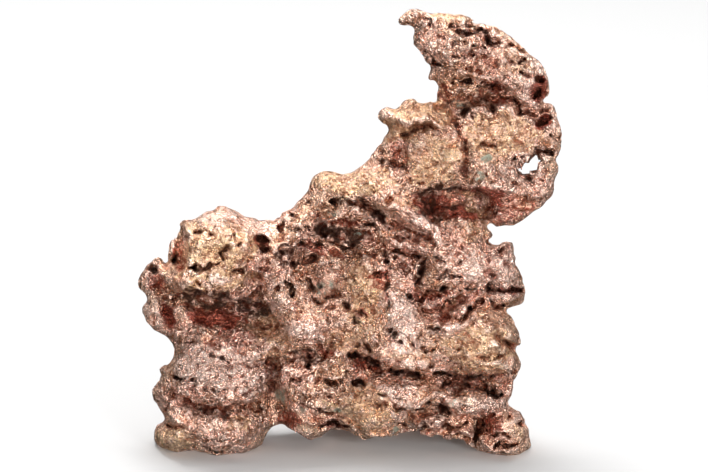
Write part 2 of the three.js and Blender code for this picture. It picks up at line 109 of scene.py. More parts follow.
# Softboxes: name, place and size in metres, watts.
SOFTBOXES = [
    ("key", (0.36, -0.62, 0.18), (0.2, 0.2), 4.2),
    ("left", (-0.60, -0.44, 0.15), (0.14, 0.3), 2.6),
    ("top", (-0.1, 0.3, 0.85), (0.35, 0.35), 9.2),
    ("low", (0.6, -0.3, 0.15), (0.1, 0.3), 1.2),
]
SOFTBOX_AIM = (0, 0, 0.04)
FLOOR_COLOR = (0.44, 0.44, 0.44, 1)
FLOOR_CORNERS = [(-3, -2, 0), (3, -2, 0), (3, 8, 0), (-3, 8, 0)]

# The camera looks squarely at the face: width of what it sees and the face's point in the middle, in mm.
VIEW_WIDTH = 141.0336
VIEW_MIDDLE = (4.15, 44.15, 5.0)
LENS = 180.0
SENSOR = 36.0

# ---------------------------------------------------------------- the face plane

U_AXIS = np.array([1.0, 0.0, 0.0])
V_AXIS = np.array([0.0, math.sin(FACE_LEAN), math.cos(FACE_LEAN)])
W_AXIS = np.array([0.0, -math.cos(FACE_LEAN), math.sin(FACE_LEAN)])


def to_face(points):
    """Points of the part's frame, in mm, as u, v and w."""
    moved = points - FACE_ORIGIN
    return moved @ U_AXIS, moved @ V_AXIS, moved @ W_AXIS


def from_face(u, v, w):
    """The point of the part's frame, in mm, at u, v and w."""
    return FACE_ORIGIN + u * U_AXIS + v * V_AXIS + w * W_AXIS


# The outline, clockwise from the foot of the lower left lobe.
OUTLINE = [
    # lower left lobe and the lumpy edge above it
    (-31, -0.5), (-33, -0.8), (-34.9, 0.6), (-35.9, 2.6), (-36.1, 4.6), (-35.5, 5.8), (-34.5, 6.5),
    (-34.3, 7.8), (-35.2, 9.8), (-35.9, 11.6), (-36, 13.2), (-35.4, 14.8), (-34.8, 15.9), (-34.9, 17.2),
    (-34.1, 17.8), (-33.1, 17.9), (-32.3, 19), (-31.9, 20.8), (-31.8, 22.5), (-32.6, 23.5),
    # the two small lobes on the left
    (-34.2, 24.3), (-35.8, 25.3), (-37.2, 26.5), (-38.1, 28.2), (-38.3, 29.7), (-37.7, 31), (-37.4, 32.1),
    (-38.3, 32.9), (-39.2, 33.8), (-39.3, 35.1), (-38.6, 36.6), (-37.4, 38.3), (-36.3, 39.5), (-35.2, 40),
    (-34.3, 39.5), (-33.9, 38.7), (-33.3, 38.3), (-32.9, 39.1),
    # the square lump at the upper left
    (-32.9, 40.6), (-32.5, 42.2), (-31.7, 44), (-30.9, 45.7), (-29.9, 46.8), (-28, 47.3), (-26, 48.2),
    (-24, 49), (-22.6, 49.7), (-21, 49.7), (-19.4, 49), (-18.1, 47.9), (-16.6, 47.8), (-15.6, 47.7),
    (-14.9, 47.1), (-13.4, 47.2), (-11.9, 47.1),
    # the steps up to the shoulder
    (-11, 47.9), (-10.4, 48.7), (-9.4, 49), (-8.1, 49.5), (-7, 50.6), (-5.9, 51.8), (-5.2, 53),
    (-4.9, 54.2), (-4.2, 55.7), (-3, 56.6), (-1.4, 57), (0, 57), (1.6, 56.7), (3.4, 56.7), (4.8, 57.4),
    (6.4, 58.4), (7.5, 59.3), (8, 60.4), (8.9, 61.5),
    # the left lobe of the neck
    (9.9, 62.8), (10.5, 64.1), (11, 65.2), (10.8, 66.3), (9.8, 66.9), (9.3, 67.9), (9.5, 69.2),
    (10.4, 69.9), (11.5, 69.8), (12.6, 69.5), (13.6, 70.1), (14.6, 70.9), (15.7, 71), (16.8, 70.4),
    (18.2, 70.3), (19.5, 70.6), (20.4, 70), (21.4, 69.6),
    # up the inner edge of the horn to its tip
    (21.1, 70.8), (20.9, 72.2), (21.1, 73.4), (20.8, 74.4), (20.2, 75.3), (19.8, 75.7), (19.3, 75.3),
    (19, 76), (19.5, 76.9), (19.3, 77.9), (18.6, 78.8), (17.8, 80), (17.2, 81), (16.5, 81.8),
    (16.1, 82.9), (16.3, 84.2), (16.1, 85.2), (15.7, 85.7), (14.8, 85.8), (13.6, 85.6), (12.9, 86.2),
    (13.2, 87.2), (14.4, 88), (15.9, 88.4), (17.4, 88.3),
    # down the back of the horn
    (18.6, 87.9), (20, 88.2), (21.6, 88.1), (23.4, 87.5), (25.2, 87.4), (26.8, 87.1), (28.4, 86.4),
    (30, 86.1), (31.6, 85.2), (33.6, 84.2), (35.4, 83), (37.2, 81.6), (39, 80.2), (40.4, 78.9),
    (41.5, 77.4), (42.4, 75.8), (43, 74), (42.9, 72.5), (42.3, 71.7), (41.5, 71.3), (42, 70.6),
    # the plate's right edge, down to its rounded corner
    (43, 70.4), (43.8, 69.4), (44.3, 68), (45.1, 66), (45.4, 64), (45.2, 62), (44.9, 60.2), (44.3, 59.4),
    (44.8, 58.6), (44.9, 57), (44.4, 55), (43.6, 53), (42.6, 51.1), (41.2, 49.7), (39.4, 48.6), (37.6, 47.5),
    (36, 46.4), (34.2, 45.9), (32.6, 46.1), (31.5, 46.8),
    # the waist and the right column
    (30.8, 46.8), (30.7, 46), (31.4, 44.9), (31.7, 44.4), (31.2, 43.7), (31.1, 42.8), (31.9, 42.2),
    (33.2, 42.3), (34.8, 42.9), (35.7, 42.3), (36.1, 40.8), (36.5, 39), (37.1, 37), (37.7, 35.2),
    (38.3, 33.6), (38.4, 32.1), (37.7, 30.9), (36.4, 30.3), (35, 30), (34.3, 29.3),
    # the bulges of the lower right
    (35.1, 28.5), (35.9, 27.4), (36.3, 26), (36.9, 24.6), (37.4, 23.3), (37.2, 22.2), (36.3, 21.5),
    (36.9, 20.5), (37.4, 19.1), (37.5, 17.6), (37, 16.4), (36.4, 15.4), (36.1, 14), (35.6, 12.4),
    (35.1, 10.9), (35.3, 9.7), (36.6, 9.3), (37.6, 8.7), (38.3, 7.2), (38.9, 5.5), (39.2, 3.7),
    (39.1, 1.8), (38.5, 0), (37.4, -1.1), (36, -1.4),
    # along the underside, back to the lower left lobe
    (34, -1), (31.5, -0.4), (28.5, 0.4), (26, 1.4), (23.5, 1.8), (20.5, 1.8), (17.5, 2), (14.5, 2.4),
    (12.2, 3), (10.2, 3.3), (8.2, 2.9), (6.6, 2.7), (5.2, 3.4), (3.9, 4.4), (2.4, 5.1), (0.4, 5),
    (-1.6, 4.7), (-2.7, 3.6), (-3.8, 2.4), (-5, 2), (-6.1, 2.9), (-7.2, 3.8), (-8.4, 4.6), (-9.1, 5.7),
    (-10.2, 6.3), (-11.8, 6.1), (-13.2, 5), (-14.1, 3.4), (-14.9, 1.7), (-16.2, 0.4), (-18.5, -0.4),
    (-21, -0.7), (-23.5, -0.7), (-25.5, -0.2), (-27.4, 0.2), (-29.4, 0),
]

# Lumps of a side: (u, v), (half along, half across), turn in degrees, height over the middle surface,
# and how square the lump is: high numbers have flat tops and steep sides.
FRONT_LUMPS = [
    ((-36.3, 36), (4.8, 3.4), 55, 4.2, 2.4),  # small lobes on the left
    ((-35.4, 28.6), (4.4, 3.6), 80, 4, 2.4),
    ((-31.4, 41.5), (5.4, 2.4), 70, 7, 2.4),
    ((-23, 41), (8.2, 6.8), 8, 13, 6),  # square lump, its lower lip and its top
    ((-24.5, 36), (8.4, 3.4), -3, 13.4, 3),
    ((-16.8, 42.4), (3.4, 6.4), 0, 11.4, 3),
    ((-22, 47.4), (8, 2.8), 4, 8.5, 2.4),
    ((-11.6, 38.5), (3.6, 10), 8, 9.8, 2.4),  # the band down the middle of the left half
    ((-7, 30.5), (9, 4.4), -42, 10.6, 2.4),
    ((-8, 45), (5, 5), 30, 8.2, 2.4),
    ((-23, 22), (10.5, 4.6), 0, 8.6, 2.4),  # below the slit
    ((-23.5, 17), (10.4, 6), 0, 11.4, 3),
    ((-33.6, 12.6), (2.9, 5.6), 0, 7.4, 2.4),
    ((-30.6, 8.4), (4.6, 3.6), 20, 10.6, 2.4),  # lower left lobe
    ((-32.4, 3.8), (4.2, 3.8), 0, 10.4, 2.4),
    ((-23.6, 6.4), (9.6, 3.6), -4, 10.9, 2.4),
    ((-20.6, 2.8), (6.4, 3.2), 0, 11.1, 2.4),
    ((-4.6, 19), (9.6, 6.8), 0, 9.4, 3),  # middle of the lower body
    ((-5.6, 25.4), (4.2, 3.4), 25, 11.4, 2.4),
    ((-2, 11.4), (9.4, 4.6), -6, 9.6, 2.4),
    ((-5.6, 5.4), (4.4, 3.6), 0, 6.6, 2.4),
    ((8, 9), (8, 6), -8, 9.8, 2.4),
    ((6, 26), (7.8, 4.6), -20, 10.4, 2.4),
    ((6.4, 33.6), (4.8, 5.4), 0, 8.8, 2.4),  # around the square recess
    ((14, 37), (5.2, 5.2), -8, 7.6, 4),
    ((13.4, 28.4), (4.6, 5.8), 20, 11.2, 2.4),
    ((22.6, 38), (6.8, 4.6), -12, 10.4, 2.4),
    ((27.6, 38), (3.8, 5.4), 0, 10.2, 2.4),
    ((34, 37.4), (5.6, 3.8), 78, 8.4, 2.4),  # right column
    ((34.6, 31.8), (4.2, 2.8), 8, 8.2, 2.4),
    ((17, 22.6), (12, 5.4), -4, 12.2, 3.4),  # the long lip and the bulge at its end
    ((29, 23.2), (8.2, 6), 4, 13.2, 3),
    ((33, 26.2), (4, 3.2), -35, 11.8, 2.4),
    ((34.4, 18.8), (3.6, 3.2), 0, 11, 2.4),
    ((16, 12.8), (8.6, 3.6), -6, 10.8, 3),  # ledge under the lip
    ((27.4, 11), (8.6, 2.6), -2, 11.8, 2.4),
    ((21, 6), (9.4, 4.4), 0, 8, 2.4),
    ((35, 4.8), (4.8, 5), 0, 11, 2.4),  # lower right lobe
    ((30.6, 3), (3.4, 3), 0, 9.4, 2.4),
    ((2.4, 54), (8.4, 3.6), 2, 7.6, 3),  # shoulder
    ((11.6, 53.6), (6.6, 4.4), -24, 8.2, 2.4),
    ((2, 49.4), (6, 2.4), -10, 6.2, 2.4),
    ((15.4, 48.6), (5.4, 2.6), -40, 9.2, 2.4),
    ((25, 44.8), (5.6, 3.6), -10, 7.2, 2.4),
    ((18.2, 60.4), (7.4, 6.8), 0, 7.6, 3),  # left lobe of the neck
    ((16.6, 67.8), (6.2, 2.8), 2, 8.6, 2.4),
    ((11, 68.4), (2.2, 2), 0, 5.4, 2.4),
    ((11.6, 60.6), (3.6, 3.4), 40, 5.2, 2.4),
    ((34, 63.4), (10.4, 7.6), 4, 4.4, 4),  # the plate
    ((36, 56.2), (8.4, 4.6), 12, 5.6, 2.4),
    ((31, 55.4), (5, 3), -6, 6, 2.4),
    ((30, 80.2), (13.2, 6.8), -38, 4.6, 3),  # the horn
    ((31, 75.6), (9.6, 3.2), -6, 5.6, 2.4),
    ((24, 85.8), (7.4, 1.9), -8, 4.4, 2.4),
    ((15.4, 87), (2.8, 1.8), 0, 3.4, 2.4),
]

BACK_LUMPS = [
    ((-22, 38), (11, 9.4), 12, 9, 3),
    ((-24, 14), (12, 11), -10, 12, 3),
    ((-3, 30), (13, 12), 25, 12.4, 2.4),
    ((2, 10), (15, 9), 0, 13.4, 3),
    ((27, 14), (11, 12), 10, 12, 3),
    ((22, 34), (12, 9), -20, 10.4, 2.4),
    ((6, 49), (12, 8), 20, 8, 2.4),
    ((20, 60), (9, 8), 0, 5.4, 2.4),
    ((36, 58), (9, 11), 0, 4.6, 2.4),
    ((31, 79), (13, 7), -38, 4.4, 2.4),
    ((-36, 33), (4, 8), 0, 4, 2.4),
]

# Broad ridges and grooves of the front: half width, rise (or, below zero, depth) and path.
STROKES = [
    (2, 1.8, [(9, 50.6), (14, 48.6), (17.4, 46.4), (20.4, 44), (23.6, 42.6)]),  # slanting ridges
    (1, -0.4, [(8.6, 48.2), (12, 46.2), (16, 44.4), (19.6, 42.8)]),
    (1.2, 1.4, [(6, 46.8), (10, 45), (14, 43.4), (18, 41.8), (22, 40.8)]),
    (1, -0.4, [(9.6, 41.6), (12.4, 41.4), (15.2, 41), (18.2, 39.8)]),
    (2.2, -1.6, [(-2.6, 45.4), (0.4, 44.6), (4, 44.6)]),  # the dark basin
    (1.4, -1.2, [(-1.6, 42.4), (3.6, 41.8)]),
    (1.8, -2.2, [(-4.8, 39.6), (-8.6, 40.4)]),
    (1.4, 1.4, [(1, 48.6), (4, 48.4), (7, 47)]),
    (1.4, -3, [(-34.4, 33), (-33.4, 31), (-33, 28), (-32.8, 25)]),  # behind the small lobes
    (1.2, -4.4, [(-30.3, 45), (-30.1, 42), (-30.6, 38.8)]),  # left of the square lump
    (1.5, -4.6, [(-30.6, 31.2), (-26, 31), (-21.6, 30.4), (-17, 30.4), (-14, 31)]),  # the slit
    (1.6, -2.4, [(-26.6, 27.8), (-22, 27.6), (-18.6, 28)]),
    (1.1, -3.2, [(-15, 46.2), (-15.4, 43.6), (-14.6, 41.6)]),  # right of the square lump
    (1.5, -2.6, [(-15.6, 39), (-15.6, 35), (-14.8, 32)]),
    (1.4, -1.8, [(-28.4, 10.6), (-24, 9.8), (-20, 9.6), (-15.6, 10.6)]),  # under the lower left face
    (1.2, -2.6, [(-32.5, 17), (-32.6, 14), (-31.8, 11.8), (-29, 11.2)]),
    (2.2, -5.6, [(-12.4, 18.4), (-11.6, 13), (-10.8, 8)]),  # between the two lower halves
    (1.4, -3, [(-11, 21), (-8, 20.2), (-5, 20.2), (-1.4, 21.2)]),
    (1.5, -4.2, [(4.4, 19.8), (7.6, 19), (9.4, 17.8), (12, 16.4), (17, 16.2)]),  # under the lip
    (1.7, -2.2, [(19.6, 15.4), (25, 14.6), (30, 14.4), (34, 14.8)]),
    (1.1, -2.8, [(32, 24.6), (34.4, 23), (36.8, 21.9)]),
    (1.6, -3.2, [(15.4, 7.6), (17.6, 9), (20, 9.8), (22.4, 8.8), (24.4, 7), (28.6, 6.8)]),  # dark arch
    (1.5, -2, [(14, 5.4), (19, 4), (26, 3.6)]),
    (1.2, -3.2, [(28.5, 0.8), (28.7, 4), (30, 6.6), (31.4, 8.4)]),
    (1, 1.4, [(19.4, 28.8), (21, 27), (22.6, 25.6), (25.4, 26.8), (28.4, 28.8)]),  # below the right slot
    (1.3, -2.4, [(31.2, 34), (34, 33.4), (37.4, 33)]),  # across the right column
    (1, -2.6, [(30.9, 43), (30.6, 40), (30.4, 36.6)]),
    (1, -3, [(16.4, 40.1), (17.9, 38.8), (17.7, 36.4), (16.5, 33.8)]),  # edge of the square recess
    (1.1, -2.6, [(13.6, 64.3), (15, 64.7), (17, 65.7), (19.6, 65.8)]),  # crease of the left lobe
    (1.2, -2, [(13.2, 62.4), (13.2, 58.4)]),
    (0.7, -1, [(22.8, 69.6), (24, 67.4), (25, 65), (25.9, 62.4), (26.4, 60), (26.3, 56.6)]),  # neck seam
    (1.2, -4, [(21.6, 71.6), (24.4, 70.8), (28, 70.7), (31, 71.5), (34, 72), (36, 71), (37.6, 69.2),
               (40, 68.5), (42.4, 69.2)]),  # under the horn
    (1.2, -1.8, [(23.4, 74.5), (26.4, 74.4), (29.6, 74), (33.8, 73.4)]),
    (1, -1.2, [(20, 85.9), (23.6, 85.6), (27.4, 85.3)]),
    (1.2, -1.6, [(25, 84.3), (28.4, 84), (31.8, 82.8)]),
    (1.6, -2.6, [(25, 52.4), (29, 51.7), (34, 51.4), (39.6, 50.8)]),  # under the plate's lower rim
]

# Sharp cracks and slots: half width, depth and path.
CUTS = [
    (0.6, 1.4, [(-28.8, 38.1), (-26.2, 38.2), (-23.4, 39), (-21.8, 39.8), (-22.2, 41), (-20.2, 42)]),
    (0.45, 1, [(-26.5, 34.6), (-25.2, 35.3), (-25, 36.5), (-24.8, 37.6)]),
    (0.7, 2, [(-30.4, 45.4), (-30.9, 42), (-31.4, 38.8)]),
    (0.5, 0.9, [(-19.4, 44.6), (-18.4, 43.2), (-18.6, 41)]),
    (0.45, 0.8, [(-27.2, 44.4), (-25.4, 44.9), (-23.6, 44.6)]),
    (0.5, 0.9, [(-20.6, 36.8), (-18.8, 37.3), (-17.4, 36.6)]),
    (0.7, 1.8, [(-26.9, 32.9), (-25, 32.3)]),
    (0.7, 2, [(-22.6, 29.6), (-20.8, 29.2)]),
    (0.6, 1.8, [(-17.6, 30.6), (-14.4, 30.2)]),
    (0.5, 1.2, [(-31.6, 16), (-27.9, 16.1), (-27.5, 14.4)]),
    (0.5, 0.9, [(-24.6, 20.6), (-22, 20), (-20.4, 18.6)]),
    (0.45, 0.8, [(-17.8, 18.6), (-15.4, 17.4), (-14.6, 15.4)]),
    (0.5, 1, [(-25.8, 13.6), (-22.4, 13.2), (-19.2, 13.5)]),
    (0.5, 1.1, [(-34.4, 7.6), (-32.8, 11)]),
    (0.45, 0.8, [(-33.4, 6.4), (-31, 6.1), (-28.8, 5.2)]),
    (0.6, 1.2, [(-26, 1.6), (-22.5, 1)]),
    (0.6, 1.2, [(-9.9, 35.6), (-8.6, 34.6), (-8, 32.2)]),
    (0.5, 1, [(-8.8, 44.9), (-6, 45.2), (-3.4, 45.4)]),
    (0.6, 1.1, [(-6, 42.4), (-3, 42.1), (-1.6, 41.6)]),
    (0.6, 1.3, [(-4.8, 35.6), (-4.3, 33.9)]),
    (0.8, 1.6, [(-4.4, 32.4), (-3.5, 31.6)]),
    (0.5, 1, [(-1.6, 32), (0.2, 32.3)]),
    (0.5, 0.9, [(-2, 28.6), (-0.6, 27.2), (-0.2, 25)]),
    (0.5, 1.1, [(1.8, 30.6), (4, 29.9), (5.4, 29), (6.5, 27.9)]),
    (0.5, 1, [(3.9, 28.2), (4.8, 27)]),
    (0.45, 0.8, [(2.3, 36.4), (3.4, 35.6), (4.6, 36), (4.5, 34.4)]),
    (0.7, 2, [(-2.6, 45.2), (-1.4, 44.6)]),
    (0.8, 1.6, [(-0.6, 44.8), (0.2, 44.2)]),
    (0.6, 1.8, [(2.6, 44.8), (5.6, 44.1)]),
    (0.6, 1.6, [(-1.2, 42.9), (0, 42.4)]),
    (0.5, 1.4, [(1, 41.9), (2.6, 41.6), (4.4, 42.2)]),
    (0.7, 1.2, [(-0.6, 50.9), (1.4, 51.4), (3.4, 50.8), (4.4, 50.2)]),
    (0.5, 1, [(5, 51.6), (6.4, 50.4), (7.6, 49.8)]),
    (0.8, 1.4, [(7.9, 48.3), (9, 49.2), (10.2, 48.6), (9.6, 47.4)]),
    (0.5, 1.2, [(6, 46.9), (8.2, 45.9), (8.4, 44.4)]),
    (0.5, 0.5, [(9.6, 47.4), (12, 46.3), (16, 44.5), (19, 43.1), (21.4, 42.4)]),
    (0.5, 0.5, [(7.6, 45.2), (10.6, 44.4), (14.6, 43), (18.4, 41.7), (22, 40.6)]),
    (0.45, 0.8, [(12.4, 49.2), (15, 47.8), (17, 46)]),
    (0.6, 1.4, [(12.4, 41.2), (14.6, 40.6), (17.2, 40.2)]),
    (0.5, 1.2, [(10.1, 41.1), (10.4, 39.2), (10.9, 38)]),
    (0.5, 1, [(12, 39.8), (11.2, 38.2)]),
    (0.6, 1.6, [(17.9, 38.8), (17.7, 36.6), (16.5, 34)]),
    (0.5, 1.3, [(10.2, 36.4), (10.8, 34.5), (10.6, 31), (10.2, 29)]),
    (0.5, 1.1, [(14.6, 32), (17, 31.7), (18.4, 31.9)]),
    (0.5, 0.9, [(21, 36), (22.4, 36.9), (25, 36.2)]),
    (0.45, 0.8, [(19.8, 39.9), (22, 39), (24.6, 38.6)]),
    (0.4, 1.3, [(18.8, 33.3), (22, 33.6), (26, 33.5), (29.7, 33.2)]),
    (0.5, 1, [(24.6, 27.4), (26.8, 29), (29, 30.2)]),
    (0.5, 0.9, [(21.4, 29.8), (22.6, 30.4), (24, 31.6)]),
    (0.6, 1.2, [(19, 26.2), (20.6, 25.9)]),
    (0.7, 1.4, [(30.6, 34), (33, 33.6), (35.4, 33.6), (37.4, 32.8)]),
    (0.5, 1, [(30.9, 31.6), (32, 30.2), (33.6, 30)]),
    (0.5, 1, [(11.6, 25.6), (12.8, 23.6), (13.6, 22.2)]),
    (0.45, 0.8, [(9.8, 26), (11.4, 25.2)]),
    (0.45, 0.8, [(24.7, 22), (24.9, 20.4), (26, 19.2)]),
    (0.45, 0.8, [(27, 20.6), (30.4, 19.9), (33, 20.4)]),
    (0.6, 1.8, [(33, 24.2), (35.2, 22.5), (36.8, 22)]),
    (0.45, 0.7, [(14.8, 22.8), (18.4, 21.4), (21.6, 21.6)]),
    (0.7, 2, [(11.4, 16.9), (14.4, 16.6), (17.4, 16.9)]),
    (0.8, 1.6, [(4.6, 20.2), (7, 19.7), (8.8, 18.9)]),
    (0.6, 1.6, [(20, 16.4), (24, 16.6), (27.6, 15.8), (30.4, 16), (33, 17), (36, 17.2)]),
    (0.6, 1.2, [(21, 14), (24, 14.6), (27.4, 14.2), (29.6, 13.4)]),
    (0.5, 1.2, [(30, 14.6), (31, 12.4), (33.6, 12.8)]),
    (0.5, 0.9, [(11, 11.6), (12.6, 10.7)]),
    (0.5, 0.9, [(13, 9.9), (15.4, 9.6)]),
    (0.45, 0.8, [(17.6, 13), (20.4, 12), (22, 11)]),
    (0.7, 1.6, [(16.6, 9.6), (19.4, 10.5), (21.8, 10), (23.2, 8.6)]),
    (0.6, 1.2, [(13.4, 6.8), (15.6, 6.3), (18, 5.6)]),
    (0.6, 1.2, [(21.6, 6.5), (24, 6), (26.4, 6.6)]),
    (0.5, 1.1, [(24.6, 4.6), (27, 4.2)]),
    (0.5, 1, [(16, 3.6), (20.6, 3.2), (23, 3)]),
    (0.6, 1.4, [(28.5, 1.2), (28.7, 4), (30, 6.6)]),
    (0.5, 1.2, [(30.8, 5.2), (32.8, 4.6), (34.6, 4.1)]),
    (0.5, 1.2, [(32, 2.6), (34.6, 2.2), (36.8, 2.4)]),
    (0.5, 1, [(35.2, 9.3), (35, 7.4)]),
    (0.5, 1, [(36.6, 7.2), (38.4, 6)]),
    (0.5, 1.2, [(-1.8, 15.4), (0, 15.2), (1, 15)]),
    (0.5, 1.2, [(3.4, 15.5), (4.6, 15), (6.6, 14.2)]),
    (0.5, 1.1, [(-1.8, 12.6), (-0.4, 11.8)]),
    (0.5, 1, [(7, 13.3), (10.8, 12.6)]),
    (0.45, 0.9, [(5, 11.2), (6.6, 11.5), (7.6, 12.6)]),
    (0.5, 1, [(8.2, 10.6), (10.4, 10.4)]),
    (0.5, 1.1, [(-5, 10.2), (-2.6, 9.1), (0, 8.4)]),
    (0.5, 1, [(-7.8, 15.6), (-6.6, 15.3)]),
    (0.6, 1.2, [(-5.4, 20.8), (-5, 19), (-4.8, 18)]),
    (0.5, 1, [(-5.6, 16.9), (-3.4, 16.8), (-2.4, 17.6)]),
    (0.5, 1.1, [(0.8, 18.6), (2.6, 17.6), (3.6, 16.4)]),
    (0.8, 1.5, [(3.2, 20.3), (4.4, 20.1)]),
    (0.5, 0.9, [(4.6, 22.6), (5.6, 23.4), (7.6, 21.6)]),
    (0.6, 1.2, [(-2.6, 5.6), (-1.4, 6.5), (1, 6.7), (3, 6.2)]),
    (0.5, 1, [(5, 3.6), (8, 3.5), (11.4, 3.6)]),
    (0.5, 1, [(-6.6, 3), (-4.6, 2.6), (-3.2, 2.9)]),
    (0.5, 1.2, [(14, 64.6), (16, 65.2), (19, 65.7), (21.8, 64.8)]),
    (0.45, 0.8, [(14.4, 61), (13.5, 58.2), (14.6, 56.4)]),
    (0.4, 0.7, [(15.8, 57.7), (18.6, 57.4)]),
    (0.4, 0.7, [(21.6, 56.7), (24.2, 56.4)]),
    (0.4, 0.7, [(21, 61.9), (23.8, 62)]),
    (0.4, 0.7, [(12.4, 55.2), (16, 55.4), (18, 54.6)]),
    (0.35, 0.9, [(23.2, 69), (24.6, 66), (25.7, 62.6), (26.3, 60), (26.2, 57.4)]),
    (0.7, 1.6, [(22, 71.4), (26, 70.9), (28.6, 70.7), (31, 71.5), (34, 72), (36, 71), (37.6, 69)]),
    (0.5, 1.1, [(38, 68.8), (40, 68.4), (42.2, 69)]),
    (0.5, 1, [(39.8, 61.4), (42.4, 60.9), (44.6, 60)]),
    (0.5, 1, [(41.4, 64.9), (43.6, 64.1), (45.2, 63.4)]),
    (0.45, 0.8, [(36, 59.1), (38, 59.5), (40.8, 60)]),
    (0.4, 0.7, [(31.6, 55), (34.4, 54.6), (36.6, 54)]),
    (0.4, 0.7, [(28, 63), (30.4, 62), (32, 62.4)]),
    (0.6, 1.2, [(22.6, 85.5), (25, 85.6), (28, 85.5)]),
    (0.6, 1.2, [(24, 84.8), (26.6, 84), (29, 84.4), (31.4, 82.9)]),
    (0.5, 1.1, [(27.8, 81.6), (29.8, 81.1)]),
    (0.5, 1, [(30.4, 82.6), (32.8, 82.4)]),
    (0.5, 0.9, [(22.4, 82), (24.6, 82.4), (26.4, 81.8)]),
    (0.5, 0.9, [(24, 79), (26.8, 79.8), (28.4, 79.4)]),
    (0.6, 1.2, [(23.8, 74.6), (26.6, 74.3), (29.4, 74.1), (33, 73.3)]),
    (0.5, 1, [(34.4, 79), (36.4, 78.4), (38.6, 78.2)]),
    (0.5, 1, [(34.6, 82), (36, 81.4), (37.6, 80.4)]),
    (0.45, 0.9, [(37, 76.4), (39, 75.8)]),
    (0.5, 0.9, [(16, 87.2), (17.4, 86.9), (19, 87.3), (19, 85.8)]),
    (0.6, 1.2, [(17.6, 81), (19, 79.8), (20, 78.2), (22.4, 77.2)]),
]

# Sharp crests and thin blades: half width, height and path.
CRESTS = [
    (0.9, 0.9, [(-31.2, 35.2), (-27.4, 33.5), (-22.6, 32.2), (-18.6, 31.6), (-15, 32)]),  # lower lip
    (0.8, 0.8, [(-28.6, 5.4), (-28.5, 7.4), (-28.7, 9.4)]),
    (0.6, 0.5, [(-33.8, 9.4), (-31.4, 8.2), (-28.8, 6)]),
    (0.6, 0.5, [(-33.2, 7.6), (-31, 7), (-28.8, 5.8)]),
    (0.9, 0.8, [(-28.6, 12), (-24, 11.6), (-19, 11.4), (-15.4, 12.4)]),
    (0.8, 1.3, [(10, 51.2), (14, 49), (17, 46.9), (20, 44.4), (24, 42.2)]),
    (0.7, 1.2, [(4.4, 49.6), (8, 47.4), (12, 45.6), (17, 43.4), (20, 42.3), (27, 40)]),
    (0.7, 1.1, [(9, 44.2), (14, 42.6), (19, 41.1), (24, 39.5)]),
    (0.7, 0.9, [(6, 41.6), (6.6, 39.8), (7.2, 37.6)]),
    (0.9, 2, [(18.6, 30.5), (21, 31.3), (23.4, 32.2)]),
    (1, 1.8, [(23.6, 28.6), (26, 30.4), (28.8, 32)]),
    (0.6, 0.45, [(19.4, 28.5), (22.4, 25.5), (25.2, 26.5), (28, 28.5), (30.4, 29)]),
    (0.7, 0.9, [(9.4, 20), (11, 18.6), (16, 18), (19, 17.4), (22, 17.6)]),
    (0.7, 0.8, [(10.8, 9.4), (12.6, 8.6), (15, 9.8), (17.4, 11.4), (20.4, 12)]),
    (0.7, 0.9, [(22.6, 10.8), (25, 9.8), (28, 9.6), (32, 10.2)]),
    (0.7, 1.1, [(29.4, 3.7), (31, 2.3), (34, 1.1), (36.6, 1.4)]),
    (0.5, 0.9, [(20.6, 4.6), (23.8, 4.7)]),
    (0.5, 0.8, [(-8, 5.4), (-5.6, 6.9), (-3, 6.5), (-1.2, 7.2), (2, 7.3), (3.6, 6.3), (4.9, 4.3)]),
    (0.5, 0.7, [(4.9, 4.3), (7, 3.5), (9.6, 4), (12, 4.3), (15, 3.6)]),
    (0.6, 0.8, [(12.4, 67.3), (15, 66.6), (17, 67.2), (20, 66.4), (22, 65.8)]),
    (0.7, 0.9, [(28.6, 53.8), (31, 52.8), (34, 53.2), (37.4, 52.7), (41, 52)]),
    (0.5, 0.6, [(29.2, 54.8), (30.4, 54.2), (33, 54.6)]),
    (0.7, 0.9, [(21.4, 76.6), (24, 76.4), (26.6, 75.7), (29, 75), (33, 75.1), (36.6, 74.2)]),
    (0.6, 0.7, [(17, 83.4), (19, 82.6), (20.6, 81.4), (22.4, 80), (24, 78.4)]),
    (0.6, 0.6, [(31.4, 84.9), (33.4, 82.6), (33.4, 80), (34, 77.6)]),
    (0.6, 0.7, [(-10.8, 31.6), (-8.6, 30.4), (-6.4, 28.6)]),
    (0.6, 0.7, [(-3.4, 29.6), (-1.4, 31), (0.8, 31.4), (3.4, 30.6)]),
    (0.6, 0.7, [(-4, 47.6), (-1.6, 47), (1, 47.9), (4.4, 47.7)]),
    (0.6, 0.7, [(-2.2, 23.8), (-1.8, 22.6), (-1.2, 21.8)]),
    (0.6, 0.8, [(4.8, 28.9), (5.2, 27.4)]),
]

